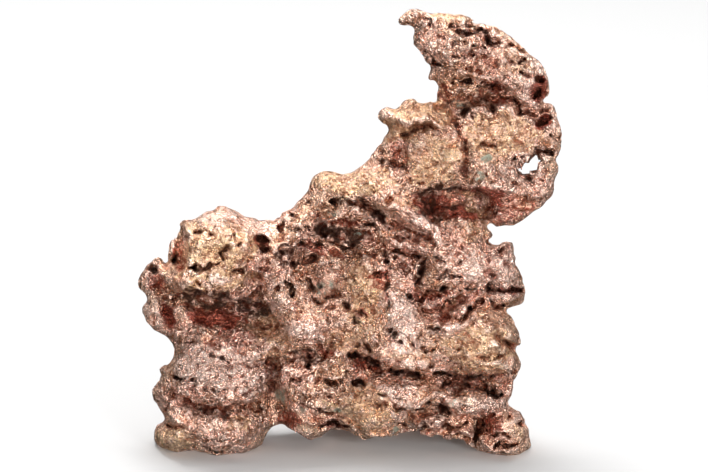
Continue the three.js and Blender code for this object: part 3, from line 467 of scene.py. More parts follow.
# Pits, and, where the depth is below zero, knobs: (u, v), (half along, half across), turn and depth.
PITS = [
    ((-36.1, 37.4), (1.3, 0.7), -30, 1.6), ((-36.4, 34.6), (1.6, 1), -40, 0.8),
    ((-36, 27.4), (1.2, 0.9), 60, 0.7), ((-31.6, 41.8), (0.9, 1.7), 0, -1.6),
    ((-14.6, 43.7), (1.5, 1.1), -30, 1.6), ((-13.7, 41.5), (1, 1.3), 20, 1.3),
    ((-28.7, 22.6), (0.9, 0.5), -15, 1.2), ((-27.4, 18.4), (0.8, 0.7), 0, -0.6),
    ((-26.5, 11.8), (0.7, 0.5), 0, 0.8), ((-24, 9.5), (0.7, 0.5), 0, 0.9),
    ((-21.5, 10), (0.6, 0.5), 0, 0.9), ((-33, 12), (0.5, 0.6), 0, 0.8),
    ((-18.6, 6.8), (1.6, 1.2), 10, -0.6), ((-10, 46), (0.8, 0.6), 20, 1.3),
    ((-10.2, 41), (1, 0.8), 0, 1.4), ((-8.2, 41.4), (0.9, 0.7), 30, 1.2),
    ((-4.4, 39.4), (0.9, 0.9), 0, 1.7), ((-8.1, 38.3), (0.7, 0.5), 0, 1.4),
    ((-8.4, 47.8), (1, 0.6), -10, 1.1), ((-3.1, 34.6), (0.8, 0.6), 0, 1.3),
    ((-0.8, 38.7), (0.4, 0.4), 0, 0.8), ((8.5, 36.6), (1.3, 0.8), -20, 1.3),
    ((6.2, 40.7), (0.6, 1), 0, -0.5), ((6.2, 54), (0.6, 0.4), 0, 0.7),
    ((7.9, 52.9), (0.5, 0.5), 0, 0.8), ((11.3, 51.4), (0.9, 0.6), -20, 0.9),
    ((-5, 51), (0.7, 0.5), 0, 1), ((13.6, 37.4), (3.4, 3), -8, 0.9),
    ((33.5, 40.8), (1.1, 0.9), 30, 0.9), ((34.2, 38.4), (1.1, 0.8), 40, 0.8),
    ((31.6, 36), (0.9, 0.7), -20, 1.1), ((36.2, 33.4), (1.3, 0.6), -15, 0.9),
    ((30, 47.9), (0.9, 0.6), 0, 1.8), ((22.6, 27.8), (1.9, 1), 50, 0.6),
    ((26.5, 24.6), (0.7, 0.4), -30, 0.9), ((27.4, 23.5), (0.6, 0.4), -20, 0.9),
    ((32.8, 16), (1.4, 0.9), 0, -1.1), ((20.4, 7.7), (2, 0.8), 8, -1.1),
    ((18.3, 7.4), (0.9, 0.7), 0, -0.8), ((0.9, 9.4), (0.7, 0.6), 0, 1),
    ((-6, 10.6), (0.8, 0.6), 20, 1.1), ((12.6, 5.3), (0.7, 0.6), 0, 0.8),
    ((10.3, 68.1), (1.5, 1.5), 0, -0.5), ((15.5, 70.5), (0.9, 0.7), 0, -0.5),
    ((19.5, 70.2), (0.8, 0.7), 0, -0.5), ((12, 59), (1, 1.3), 10, 1),
    ((10, 59.2), (0.6, 0.7), 0, 0.9), ((26, 68.8), (1, 0.9), 0, 1.7),
    ((27.5, 67.6), (0.7, 0.5), -30, 1.2), ((31.5, 69.8), (0.7, 1), 20, 1.5),
    ((41.4, 67), (1.7, 1.2), 15, 1.5), ((43.2, 67.6), (0.6, 0.5), 0, 1.1),
    ((37, 63), (0.8, 0.5), -10, 0.8), ((30.6, 59.7), (0.9, 0.8), 0, 0.5),
    ((39, 55.3), (0.8, 0.5), 0, 1), ((41.3, 55), (0.8, 0.5), 10, 1),
    ((30, 56.2), (0.8, 0.4), 10, 0.7), ((40.5, 75.4), (1.2, 0.5), -25, 1.5),
    ((40.7, 73), (1.5, 0.9), 30, 1.4), ((42.4, 73), (0.5, 0.9), 0, 1.1),
    ((40.1, 71.9), (0.8, 0.4), 0, 1.2), ((28.7, 78), (3.6, 2.2), -20, 0.4),
    ((19.6, 75.6), (0.5, 0.5), 0, -0.5), ((21.9, 72.6), (0.7, 1.3), 15, 1.5),
    ((22, 49.2), (2.2, 1.2), 30, -1.2),
]

# Kinds of skin, and where each shows on the front: (u, v), (half along, half across), turn, strength.
# The pink kind is partly painted highlight; the red and dark kinds are partly painted shade.
ZONES = {
    "smooth": [
        ((-23.5, 41), (8, 6), 5, 0.8), ((-24, 35.6), (6, 2), -4, 0.8), ((29.4, 23.6), (8, 5.2), 0, 0.7),
        ((17, 67.4), (7.4, 3.6), 0, 0.85), ((20, 59.6), (6, 5), 0, 0.55),
        ((33.4, 64), (8.4, 6), 0, 0.6), ((-32.8, 3.6), (3.8, 3), 0, 0.9),
        ((-31, 8), (3.2, 2.6), -30, 0.7), ((2, 55.4), (8, 2.6), 0, 0.3), ((10, 55), (5, 3), 0, 0.35),
        ((24, 86.8), (9, 1.4), -6, 0.85), ((15.2, 87), (3, 1.6), 0, 0.8),
        ((14, 20.4), (7, 2.4), 0, 0.4), ((34.8, 4.6), (4.6, 5), 0, 0.65), ((23, 6), (8.6, 3), -3, 0.6),
        ((21, 31.2), (3, 1), 22, 0.8), ((36, 48.4), (5, 2.4), 15, 0.5), ((0, 5), (7, 1.2), 0, 0.6),
        ((12, 3.6), (7, 1), 0, 0.6), ((-23, 27.4), (4.6, 1.3), 3, 0.85),
        ((15, 46.4), (8, 2.4), -32, 0.8), ((16, 42.6), (9, 1.5), -20, 0.8),
        ((22.4, 27.6), (2.4, 1.6), 50, 0.8), ((-31.2, 38.8), (1.8, 1.2), 0, 0.8),
        ((26.4, 30.6), (4, 1.4), 40, 0.9), ((37.6, 80), (6, 1.6), -42, 0.6),
        ((-13, 46), (3, 1.4), 0, 0.5), ((-37, 28.6), (1.6, 3), 0, 0.5), ((43.6, 60), (1.6, 8), 0, 0.5),
    ],
    "hackly": [
        ((-22, 17.4), (9.6, 6), 0, 1), ((-13, 36), (3, 5.4), 0, 0.8), ((13.6, 37.2), (3.6, 3.6), 0, 1),
        ((25.4, 45), (5.4, 4.4), 0, 1), ((33.8, 37.8), (3.8, 6.4), 0, 1),
        ((-20.4, 23.6), (5.6, 3), 0, 1), ((27, 79.6), (9, 4.4), -30, 0.7), ((-4, 17), (7, 4), 0, 0.9),
        ((2, 12.4), (9, 4), 0, 0.7), ((20, 22.6), (7, 4), 0, 0.5), ((36.6, 57), (6, 4), 0, 0.8),
        ((-34.4, 13.4), (2, 4.6), 0, 0.6), ((33, 7), (4, 3), 0, 0.6), ((26, 73), (6, 2), 0, 0.8),
        ((-6, 36), (3, 5), 0, 0.5),
    ],
    "spongy": [
        ((-24.5, 31), (8, 1.8), -3, 1), ((1, 44.8), (7, 3.4), 0, 1), ((-9, 42.4), (3, 5.6), 0, 0.9),
        ((21, 5), (9, 3), 0, 0.7), ((28.4, 14.6), (8.6, 2.4), 0, 0.6), ((1.6, 50), (4, 1.6), 0, 0.8),
        ((-22, 9.8), (7, 1.8), 0, 0.7), ((20, 48.4), (2.4, 3.4), 30, 0.9),
        ((25, 50.8), (6, 2.2), 0, 0.9), ((1, 41), (5, 1.4), -10, 0.6), ((9, 48.8), (2, 1.6), 0, 0.8),
        ((27, 84), (4, 1.6), -10, 0.6), ((-6, 20), (4.6, 2), 0, 0.7), ((-3.6, 33), (2.4, 2.6), 0, 0.9),
        ((10.6, 59.6), (2.6, 2), 30, 0.6), ((25, 72), (3.6, 1.6), 0, 0.6), ((39.6, 57), (3, 3), 0, 0.5),
    ],
    "gold": [
        ((-23, 40.6), (8.6, 6.4), 8, 1.2), ((29.4, 22.2), (8.4, 4.8), 0, 1),
        ((6, 33), (4.4, 5.6), 0, 0.9), ((16.6, 66.8), (7.4, 4.4), 0, 1),
        ((19.6, 59.6), (6, 4.8), 0, 0.8), ((34, 64), (7.4, 5), 0, 0.75),
        ((-32.6, 3.4), (3.8, 2.8), 0, 0.9), ((6.4, 10), (7, 5), 0, 0.8),
        ((-18.4, 7), (2.2, 1.6), 0, 0.8), ((3, 23), (5, 3), 0, 0.7), ((24.4, 87), (7, 1.2), -8, 0.8),
        ((28, 46), (3, 3.4), 0, 0.6), ((3.4, 54.8), (8, 3), 0, 0.9), ((-25, 31), (7, 1.8), -4, 0.6),
        ((12.6, 49.6), (4, 2), -35, 0.5), ((15, 20), (5, 1.6), 0, 0.5), ((-12, 24.6), (4, 5), 0, 0.5),
        ((26, 12), (4, 1), 0, 0.4), ((16.4, 43.4), (5, 1.2), -30, 0.5), ((-23.6, 36.6), (6, 2), 0, 0.5),
        ((37, 5), (1.6, 2), 0, 0.5), ((-9.6, 43.6), (2.4, 2.6), 0, 0.5),
    ],
    # Pale patches: partly clean copper, partly painted highlight where light falls on ridges and blades.
    "pink": [
        ((-21.6, 18), (9, 5.4), 0, 1.2), ((-22.6, 48), (5, 1.4), 6, 0.9),
        ((-14.6, 45.8), (3.4, 1.6), 0, 1), ((-22.6, 35.8), (2.2, 1.3), 0, 0.9),
        ((-9, 30.4), (2.8, 2), 0, 1), ((13.4, 27.4), (3.4, 6), 20, 1.2), ((33.4, 37), (4, 6), 0, 1),
        ((17.4, 46.2), (5.4, 1.5), -38, 1.2), ((13, 44.7), (7, 0.9), -24, 1.1),
        ((17, 41.6), (7, 0.8), -18, 1.1), ((26.6, 37.8), (5.4, 3.6), 0, 1.1),
        ((-6, 25.6), (3.6, 2.2), -20, 1), ((2.4, 56.4), (6, 1), 0, 0.3),
        ((36.4, 57.2), (6, 3.4), 0, 0.8), ((32, 53.6), (5, 1), 0, 0.9), ((14, 18.9), (6, 0.9), -4, 0.9),
        ((28.6, 10.6), (7, 1.8), 0, 0.8), ((14, 12.6), (4, 2.4), -10, 0.9),
        ((23, 81), (4, 2), -30, 0.6), ((20.4, 7.7), (2.4, 1), 0, 1), ((22, 25.6), (4, 1), 0, 0.8),
        ((26.4, 30.7), (4, 1.3), 38, 2), ((21, 31.2), (3.2, 0.9), 22, 2),
        ((23, 26.6), (3, 0.7), -30, 1.4), ((-3.6, 47.8), (2.4, 1), -20, 0.7),
        ((-1, 37), (3, 3), -40, 0.6), ((12.6, 33), (1.6, 4), 0, 0.8), ((16.4, 61.6), (2, 1.6), 0, 0.5),
        ((35, 75), (4, 1.4), -10, 0.7), ((40, 78), (4, 1), -45, 0.7), ((0, 13.6), (3, 1.4), 0, 0.5),
        ((37, 8), (1.4, 1), 0, 0.7), ((11.4, 53), (3, 1), -20, 0.4), ((-12.6, 34), (2, 3.4), 0, 0.4),
        ((12.6, 8.6), (2, 0.8), -20, 1), ((-37.4, 31), (1, 4), 0, 0.6), ((15, 46), (7, 2.2), -36, 0.8),
        ((34.4, 36), (3.4, 5), 0, 0.6), ((40, 74), (1.6, 3), 0, 0.6),
    ],
    # Red patches: partly oxide, partly painted shade in recesses and under ledges.
    "red": [
        ((-23.4, 27.9), (5.4, 1.6), -4, 1.4), ((-33, 28.6), (1.3, 3), 10, 1.1),
        ((-20.4, 24), (5.4, 2.8), 0, 0.6), ((-13.4, 36), (2, 4.6), 0, 0.35),
        ((-30.6, 41), (1, 3.8), 0, 0.9), ((-14.6, 43.6), (1.7, 1.2), -30, 1),
        ((-13.8, 41.6), (1, 1.4), 20, 0.9), ((-35.2, 35), (2.2, 1.8), -40, 0.8),
        ((-11.4, 17), (3, 4), 0, 0.55), ((-9, 7.2), (2.8, 2.2), 0, 1), ((2.4, 46.6), (3.6, 1), 0, 0.9),
        ((0.8, 40.2), (3, 1), -20, 0.8), ((-3.4, 41.4), (3, 0.9), -15, 0.9),
        ((13.4, 38.6), (3.6, 2.6), 0, 0.4), ((9.2, 35.6), (1.8, 2.6), 10, 0.9),
        ((10.6, 32), (0.7, 3), 0, 0.7), ((21.6, 32.2), (3, 0.7), 20, 0.9),
        ((23.6, 30), (1.8, 0.6), 30, 0.8), ((28, 32.4), (1.6, 0.6), 8, 0.8),
        ((18.2, 31.8), (2.6, 1), -20, 0.8), ((22.6, 27.7), (1.8, 1.2), 50, 0.7),
        ((33.8, 39.6), (1.6, 2.6), 0, 0.6), ((34.8, 33.4), (3.4, 0.9), -6, 0.8),
        ((26, 14.3), (6, 1.4), 0, 0.7), ((6.4, 18.4), (2.8, 1.6), 0, 0.9),
        ((4.6, 29.2), (2.8, 0.9), -25, 0.8), ((24.6, 50.6), (7.4, 2.8), 0, 1.2),
        ((35.6, 48.8), (5, 2.2), 20, 0.7), ((12.8, 60.6), (1.8, 3.4), 0, 0.7),
        ((25.2, 64), (0.8, 6), 12, 0.7), ((41.4, 66.9), (1.9, 1.5), 15, 1.3),
        ((41.2, 73.2), (2.2, 2.4), 0, 1.3), ((28.8, 78), (4.4, 2.6), -15, 0.5),
        ((31.4, 73.5), (3, 1), -5, 0.9), ((22, 72.4), (1.2, 1.6), 15, 0.9),
        ((31.6, 6.6), (2.2, 2), -30, 0.9), ((22, 5), (8.6, 2.6), -3, 0.55),
        ((32.8, 6), (2.6, 3), 0, 0.5), ((-0.4, 6.3), (3.4, 0.9), 0, 0.8),
        ((12, 45.4), (7, 0.7), -28, 0.4), ((13, 41.6), (6, 0.7), -14, 0.6),
        ((28, 16.4), (8, 0.9), 0, 0.6), ((-1.4, 21), (2, 0.7), 0, 0.9),
        ((34, 22.8), (2.4, 0.8), -35, 0.6), ((28.6, 84), (3.4, 1), -12, 0.6),
        ((-26.5, 42.6), (1, 0.6), 0, 0.3), ((-12.4, 24), (3, 1), 0, 0.4),
        ((34, 71.2), (5, 0.8), -8, 0.8), ((28.4, 52.6), (7, 0.8), -4, 0.8),
        ((29.6, 51.4), (5, 2.2), 6, 1.1), ((22.6, 50.2), (6, 1.8), 0, 0.9),
        ((-22.6, 29.4), (6, 0.8), -4, 0.8),
    ],
    # Dark patches on the front: painted shadow in the slit, the basin and under the plate and horn.
    "dark": [
        ((1, 44.3), (6, 2.3), 0, 1), ((-8.8, 40.4), (3, 3), 0, 0.6), ((19.4, 49), (2.2, 3), 30, 0.9),
        ((21.4, 52), (3, 1.8), 0, 0.9), ((22.6, 51.4), (5.2, 1.8), 0, 1.05),
        ((-22.4, 9.8), (7, 1.4), 0, 0.6), ((20, 6.4), (3.4, 1.4), 10, 0.6),
        ((26, 5.4), (3, 1.2), 0, 0.6), ((29, 14.6), (7.4, 1.8), 0, 0.3), ((-7, 20.4), (4, 1.2), 0, 0.7),
        ((26.6, 68.4), (2.2, 1.4), 0, 0.6), ((31.2, 70.8), (3, 1), 0, 0.6),
        ((-3.9, 33.4), (1.2, 2.2), 0, 0.6), ((9, 48.8), (1.8, 1.3), 0, 0.7),
        ((10, 59.2), (1.2, 1.4), 0, 0.5), ((-22, 31), (9, 1.8), -10, 1.1),
        ((22, 53.2), (3.6, 0.9), 0, 1), ((27, 51.4), (2.4, 0.8), 0, 1), ((14.4, 16.7), (3, 0.7), 0, 1),
        ((17.6, 36.6), (0.6, 3), 0, 0.8), ((-4.5, 39.3), (1.3, 1.1), 0, 0.8),
        ((-8.4, 46.4), (2.4, 1.6), 0, 0.4), ((24, 33.3), (4.6, 0.3), 0, 0.6),
        ((26.4, 70.8), (3.4, 0.7), 0, 0.8), ((2.4, 50.9), (2.8, 0.9), 0, 0.6),
        ((-1, 53), (2, 1), 20, 0.3), ((17.6, 6.4), (4, 1.2), 0, 0.5), ((7.6, 19.4), (2, 0.8), 0, 0.7),
        ((18, 9.6), (3, 1), 10, 0.5), ((27, 84.2), (3, 1), 0, 0.4), ((-19, 11), (3, 1), 0, 0.3),
        ((19.6, 51.8), (2.8, 1.3), -12, 1.2), ((23.4, 53), (5.4, 0.8), -6, 1.2),
        ((28.6, 51.8), (3, 0.7), -4, 1.1), ((18.8, 49.2), (0.9, 2.4), 30, 1),
        ((-20.6, 30.4), (6.4, 0.7), -8, 1.1),
    ],
    "green": [
        ((30.6, 59.7), (0.8, 0.7), 0, 1), ((28.9, 55.6), (1, 0.6), 10, 0.8),
        ((-10.2, 12.2), (1.2, 1.7), 0, 0.8), ((12.6, 5.3), (0.8, 0.7), 0, 1),
        ((0.9, 9.3), (0.9, 0.7), 0, 0.8), ((-6, 10), (0.8, 0.8), 0, 0.6),
        ((23.1, 11.3), (0.8, 0.7), 0, 0.7), ((-1.8, 34.2), (1.8, 1.2), 0, 0.5),
        ((0.5, 49.2), (1.1, 0.6), 0, 0.6), ((15.4, 28.6), (1, 0.9), 0, 0.5),
        ((24.5, 70.7), (0.9, 0.5), 0, 0.6), ((5, 44.2), (1, 0.6), 0, 0.6),
        ((13.4, 40.2), (0.8, 0.4), 0, 0.5), ((-1, 42), (0.6, 0.5), 0, 0.6),
    ],
}

# Tunnels into the metal: radius and path of (u, v, height over the middle surface).
HOLLOWS = [
    (1.9, [(-30, 32, 9), (-26, 31.4, 3), (-21, 30.2, 2), (-16, 29.8, 4), (-13, 29.8, 9)]),  # the slit
    (1.5, [(-26.4, 28.4, 7), (-22.6, 27.8, 4), (-18.6, 28.4, 6)]),
    (2.5, [(18.6, 51.6, 6), (22.6, 51.4, 1), (27.6, 50.6, 1), (30.4, 49.6, 3)]),  # under the plate
    (1.8, [(19.2, 48.8, 8), (21.2, 50.6, 3)]),
    (1, [(19, 32.4, 9), (23, 32.5, 7), (28.6, 32.6, 9)]),  # right slot
    (1, [(12, 16.7, 13), (16.4, 16.4, 6), (14, 16.5, 6)]),
]

# Holes right through the metal: radius and path of (u, v).
HOLES = [
    (1.35, [(37.6, 57), (40.6, 58.9)]),  # in the plate
    (0.6, [(-33.4, 31.9), (-33.2, 31.5)]),  # beside the small lobes
]

# Skin off the front, where patches of noise decide: size of the patches, seed, and how rare they are.
PATCHES = {
    "smooth": (9, 101, 0.15),
    "hackly": (7, 102, 0),
    "spongy": (6, 103, 0.25),
    "gold": (8, 104, 0),
    "pink": (7, 105, 0.1),
    "red": (6, 106, 0.3),
    "dark": (5, 107, 0.45),
    "green": (4, 108, 0.62),
}

# ---------------------------------------------------------------- noise


def lattice_value(cells, seed):
    """A value from 0 to 1 for each lattice point. The large odd factors only scramble its bits."""
    i, j, k = (cells[..., n].astype(np.int64).astype(np.uint32) for n in range(3))
    n = i * np.uint32(374761393) + j * np.uint32(668265263) + k * np.uint32(2246822519)
    n = n + np.uint32(seed * 3266489917 % 2**32)
    n = (n ^ (n >> np.uint32(13))) * np.uint32(1274126177)
    n = (n ^ (n >> np.uint32(15))) * np.uint32(2654435761)
    return (n ^ (n >> np.uint32(16))).astype(np.float32) / np.float32(2**32)


def smooth_noise(points, size, seed):
    """Smooth noise from -1 to 1 whose bumps are about size across."""
    scaled = points / size
    low = np.floor(scaled)
    part = (scaled - low).astype(np.float32)
    fade = part * part * part * (part * (part * 6 - 15) + 10)
    value = np.zeros(len(points), np.float32)
    for corner in np.ndindex(2, 2, 2):
        step = np.array(corner)
        weight = np.prod(np.where(step, fade, 1 - fade), axis=1)
        value += weight * lattice_value(low + step, seed)
    return 2 * value - 1


def cell_noise(points, size, seed):
    """Distance to the nearest of scattered seeds, in units of size."""
    scaled = points / size
    low = np.floor(scaled)
    part = (scaled - low).astype(np.float32)
    nearest = np.full(len(points), 9.0, np.float32)
    for corner in np.ndindex(3, 3, 3):
        step = np.array(corner) - 1
        cell = low + step
        away = [step[n] + lattice_value(cell, seed + 11 * (n + 1)) - part[:, n] for n in range(3)]
        nearest = np.minimum(nearest, np.sqrt(away[0] ** 2 + away[1] ** 2 + away[2] ** 2))
    return nearest


def smoothstep(low, high, value):
    """0 at low and before it, 1 at high and past it, with a smooth run between."""
    t = np.clip((value - low) / (high - low), 0, 1)
    return t * t * (3 - 2 * t)


def ridged(noise):
    """Sharp crests, from -0.5 to 0.5, where smooth noise passes through zero."""
    return 0.5 - np.abs(noise) * 1.6


# ---------------------------------------------------------------- maps over the face plane

STEP = 0.15
MAP_U = np.arange(-46, 52, STEP)
MAP_V = np.arange(-8, 96, STEP)
GRID_U, GRID_V = np.meshgrid(MAP_U, MAP_V, indexing="ij")
GRID_POINTS = np.stack([GRID_U.ravel(), GRID_V.ravel(), np.zeros(GRID_U.size)], axis=1)


def map_noise(size, seed):
    """Smooth noise over the maps. Each seed cuts its own slice."""
    return smooth_noise(GRID_POINTS + np.array([0, 0, 3.7 * seed]), size, seed).reshape(GRID_U.shape)


def look_up(image, u, v):
    """The map's value at each (u, v), read between its points."""
    x = np.clip((u - MAP_U[0]) / STEP, 0, len(MAP_U) - 1.001)
    y = np.clip((v - MAP_V[0]) / STEP, 0, len(MAP_V) - 1.001)
    i, j = x.astype(int), y.astype(int)
    a, b = x - i, y - j
    low = image[i, j] * (1 - b) + image[i, j + 1] * b
    high = image[i + 1, j] * (1 - b) + image[i + 1, j + 1] * b
    return low * (1 - a) + high * a


def window(points, margin):
    """The slice of the maps that holds all points, with a margin."""
    points = np.asarray(points, float)
    low = points.min(axis=0) - margin
    high = points.max(axis=0) + margin
    start = [int(max((low[0] - MAP_U[0]) / STEP, 0)), int(max((low[1] - MAP_V[0]) / STEP, 0))]
    end = [int((high[0] - MAP_U[0]) / STEP) + 2, int((high[1] - MAP_V[0]) / STEP) + 2]
    return slice(start[0], end[0]), slice(start[1], end[1])


def path_distance(point, path):
    """Distance of coordinate arrays from a path of straight stretches."""
    nearest = None
    for start, end in zip(path[:-1], path[1:]):
        start, end = np.asarray(start, float), np.asarray(end, float)
        run = end - start
        along = sum((point[n] - start[n]) * run[n] for n in range(len(run))) / (run @ run)
        along = np.clip(along, 0, 1)
        square = sum((point[n] - start[n] - along * run[n]) ** 2 for n in range(len(run)))
        nearest = square if nearest is None else np.minimum(nearest, square)
    return np.sqrt(nearest)


def smooth_outline(points, parts=3):
    """The outline with extra points between, on a smooth curve."""
    points = np.asarray(points, float)
    before, after, beyond = np.roll(points, 1, 0), np.roll(points, -1, 0), np.roll(points, -2, 0)
    rows = []
    for n in range(parts):
        t = n / parts
        rows.append(0.5 * (2 * points + (after - before) * t
                           + (2 * before - 5 * points + 4 * after - beyond) * t**2
                           + (3 * points - before - 3 * after + beyond) * t**3))
    return np.stack(rows, axis=1).reshape(-1, 2)


def outline_map():
    """Distance from the outline, negative inside."""
    curve = smooth_outline(OUTLINE)
    distance = np.full(GRID_U.shape, 99.0)
    inside = np.zeros(GRID_U.shape, bool)
    for start, end in zip(curve, np.roll(curve, -1, 0)):
        near = window([start, end], 12)
        spot = (GRID_U[near], GRID_V[near])
        distance[near] = np.minimum(distance[near], path_distance(spot, [start, end]))
        if start[1] != end[1]:
            crosses = (start[1] > GRID_V) != (end[1] > GRID_V)
            side = start[0] + (GRID_V - start[1]) * (end[0] - start[0]) / (end[1] - start[1])
            inside ^= crosses & (GRID_U < side)
    return np.where(inside, -distance, distance)


def side_map(lumps):
    """Height of a side over the middle surface: its lumps, run together softly."""
    piled = np.full(GRID_U.shape, math.exp(FLOOR_HEIGHT / BLEND))
    for (u, v), half, turn, height, square in lumps:
        turn = math.radians(turn)
        du, dv = GRID_U - u, GRID_V - v
        along = (du * math.cos(turn) + dv * math.sin(turn)) / half[0]
        across = (dv * math.cos(turn) - du * math.sin(turn)) / half[1]
        reach = np.clip(np.hypot(along, across) / 1.25, 0, 1)
        piled += np.exp(height * (1 - reach**square) ** (1 / square) / BLEND)
    return BLEND * np.log(piled)


# The coordinates bent a little by noise, so that no mark is quite straight or round.
BENT_U = GRID_U + 0.55 * map_noise(2.1, 41) + 0.45 * map_noise(0.9, 42)
BENT_V = GRID_V + 0.55 * map_noise(2.1, 43) + 0.45 * map_noise(0.9, 44)
UNEVEN = np.clip(1 + 0.6 * map_noise(1.7, 45) + 0.5 * map_noise(0.8, 48), 0.35, 2)


def line_reach(path, width, widen):
    """The map window round a line, and how far out each point lies: 1 at the line's edge."""
    near = window(path, 3 * width + 2)
    return near, path_distance((BENT_U[near], BENT_V[near]), path) / (widen * width * UNEVEN[near])


def line_marks(image, marks, sign, power, widen):
    """Adds cracks (sign below zero) or crests to a map."""
    for width, depth, path in marks:
        near, reach = line_reach(path, width, widen)
        image[near] += sign * depth * UNEVEN[near] * np.clip(1 - reach**2, 0, 1) ** power


def blob_reach(at, half, turn):
    """The map window round an ellipse, and how far out each point lies: 1 at the edge."""
    near = window([at], 1.7 * max(half) + 3)
    du, dv = BENT_U[near] - at[0], BENT_V[near] - at[1]
    turn = math.radians(turn)
    along = (du * math.cos(turn) + dv * math.sin(turn)) / half[0]
    across = (dv * math.cos(turn) - du * math.sin(turn)) / half[1]
    return near, np.hypot(along, across)


def detail_map():
    """Rise of the single cracks, crests and pits over the front, in mm."""
    image = np.zeros(GRID_U.shape)
    line_marks(image, CUTS, -0.9, 0.6, 0.75)
    line_marks(image, CRESTS, 1, 1.2, 1.1)
    for at, half, turn, depth in PITS:
        near, reach = blob_reach(at, half, turn)
        image[near] -= depth * np.clip(1.15 - reach**2, 0, 1) ** 0.6
    return np.clip(image, -2.6, 2)


def crack_shade_and_dirt_map():
    """How dark the painted shade and dirt lie in the cracks and deep pits, from 0 to 1."""
    image = np.zeros(GRID_U.shape)
    for width, depth, path in CUTS:
        near, reach = line_reach(path, width, 0.8)
        image[near] = np.maximum(image[near], min(depth / 1.3, 1) * smoothstep(1.1, 0.3, reach))
    for at, half, turn, depth in PITS:
        if depth >= 1:
            near, reach = blob_reach(at, half, turn)
            image[near] = np.maximum(image[near], min(depth / 1.6, 1) * smoothstep(1.05, 0.6, reach))
    return image


def zone_map(blobs):
    """How much a kind of skin shows over the front, from 0 to 1, with ragged edges."""
    image = np.zeros(GRID_U.shape)
    fray = 0.3 * map_noise(2.4, 46) + 0.25 * map_noise(0.9, 47)
    for at, half, turn, strength in blobs:
        near, reach = blob_reach(at, half, turn)
        share = strength * smoothstep(1.3, 0.75, reach + fray[near])
        image[near] = np.maximum(image[near], share)
    return image


def stroke_map(strokes):
    """Rise of the broad ridges and grooves, in mm."""
    rise = np.zeros(GRID_U.shape)
    for width, height, path in strokes:
        near = window(path, 2 * width + 1)
        reach = np.clip(path_distance((BENT_U[near], BENT_V[near]), path) / (1.6 * width), 0, 1)
        rise[near] += height * (1 - reach * reach) ** 2
    return rise


def middle_height(u, v):
    """How far in front of the face plane the middle of the metal lies."""
    rise = 0.13 * (v - 26)
    return rise + 3.2 * smoothstep(70, 88, v) - 2.4 * smoothstep(26, 40, -u)


# ---------------------------------------------------------------- the field


def soften(a, b, radius):
    """The greater of two fields, with a smooth run where they meet."""
    overlap = np.maximum(radius - np.abs(a - b), 0)
    return np.maximum(a, b) + overlap * overlap / (4 * radius)


def grid_points(low, shape):
    """Every sample point of the box, in mm."""
    axes = [low[n] + VOXEL * np.arange(shape[n]) for n in range(3)]
    return np.stack(np.meshgrid(*axes, indexing="ij"), axis=-1).reshape(-1, 3)


def base_field(points):
    """The large forms: negative inside, roughly in mm near the surface."""
    u, v, w = to_face(points)
    wobble = 0.3 * map_noise(2.3, 31) + 0.15 * map_noise(1, 32)
    edge = look_up(outline_map() + wobble - 0.15, u, v)
    front = side_map(FRONT_LUMPS) + stroke_map(STROKES) + 0.9 * map_noise(5, 1) + 0.5 * map_noise(2.6, 2)
    back = side_map(BACK_LUMPS) + 2 * map_noise(9, 3) + map_noise(4.4, 4)
    front = np.maximum(front, LEAST_FRONT)
    back = np.maximum(back, LEAST_BACK)
    height = w - middle_height(u, v)
    side = np.where(height > 0, look_up(front, u, v), look_up(back, u, v))
    rounding = np.minimum(RIM_ROUND, 0.8 * side)
    in_rim = np.maximum(edge + rounding, 0) / rounding
    value = (np.hypot(in_rim, height / side) - 1) * np.minimum(rounding, side)
    value = np.where(edge > 5, edge, value)
    for radius, path in HOLLOWS:
        reach = np.asarray(path, float)
        near = np.flatnonzero((np.abs(u - reach[:, 0].mean()) < np.ptp(reach[:, 0]) / 2 + 5)
                              & (np.abs(v - reach[:, 1].mean()) < np.ptp(reach[:, 1]) / 2 + 5))
        bend = [0.8 * smooth_noise(points[near], 2.4, 80 + n) for n in range(3)]
        spot = (u[near] + bend[0], v[near] + bend[1], height[near] + bend[2])
        distance = path_distance(spot, path)
        value[near] = soften(value[near], radius - distance, 0.6)
    for radius, path in HOLES:
        near = np.flatnonzero((np.abs(u - path[0][0]) < 5) & (np.abs(v - path[0][1]) < 5))
        bend = [0.6 * smooth_noise(points[near] * [1, 0, 1], 1.7, 83 + n) for n in range(2)]
        spot = (u[near] + bend[0], v[near] + bend[1])
        value[near] = np.maximum(value[near], radius - path_distance(spot, path))
    heel = (1 - np.linalg.norm((points - HEEL_AT) / HEEL_HALF, axis=1)) * HEEL_HALF[1]
    return -soften(-value, heel, HEEL_BLEND)


def underside(points):
    """Height of the bumpy underside, which comes down to the ground at the feet."""
    flat = points * np.array([1, 1, 0])
    nearest = np.min([np.hypot((points[:, 0] - at[0]) / half[0], (points[:, 1] - at[1]) / half[1])
                      for at, half in FEET], axis=0)
    bumps = 1 + 0.5 * smooth_noise(flat, 6, 5)
    return UNDERSIDE_LIFT * bumps * smoothstep(0.75, 1.5, nearest) - FOOT_WEAR


def to_mesh(field, low):
    """The field's zero surface: points in mm, triangles and quads."""
    grid = openvdb.FloatGrid()
    grid.copyFromArray(field.astype(np.float32))
    grid.transform = openvdb.createLinearTransform(voxelSize=VOXEL)
    points, triangles, quads = grid.convertToPolygons(0.0, 0.0)
    return points + low, triangles, quads


def redistance(field, low):
    """The true distance from the field's zero surface, in mm, as far as the band reaches."""
    points, triangles, quads = to_mesh(field, low)
    transform = openvdb.createLinearTransform(voxelSize=VOXEL)
    grid = openvdb.FloatGrid.createLevelSetFromPolygons(
        (points - low).astype(np.float32), triangles=triangles, quads=quads,
        transform=transform, halfWidth=BAND / VOXEL)
    out = np.zeros(field.shape, np.float32)
    grid.copyToArray(out, ijk=(0, 0, 0))
    return out


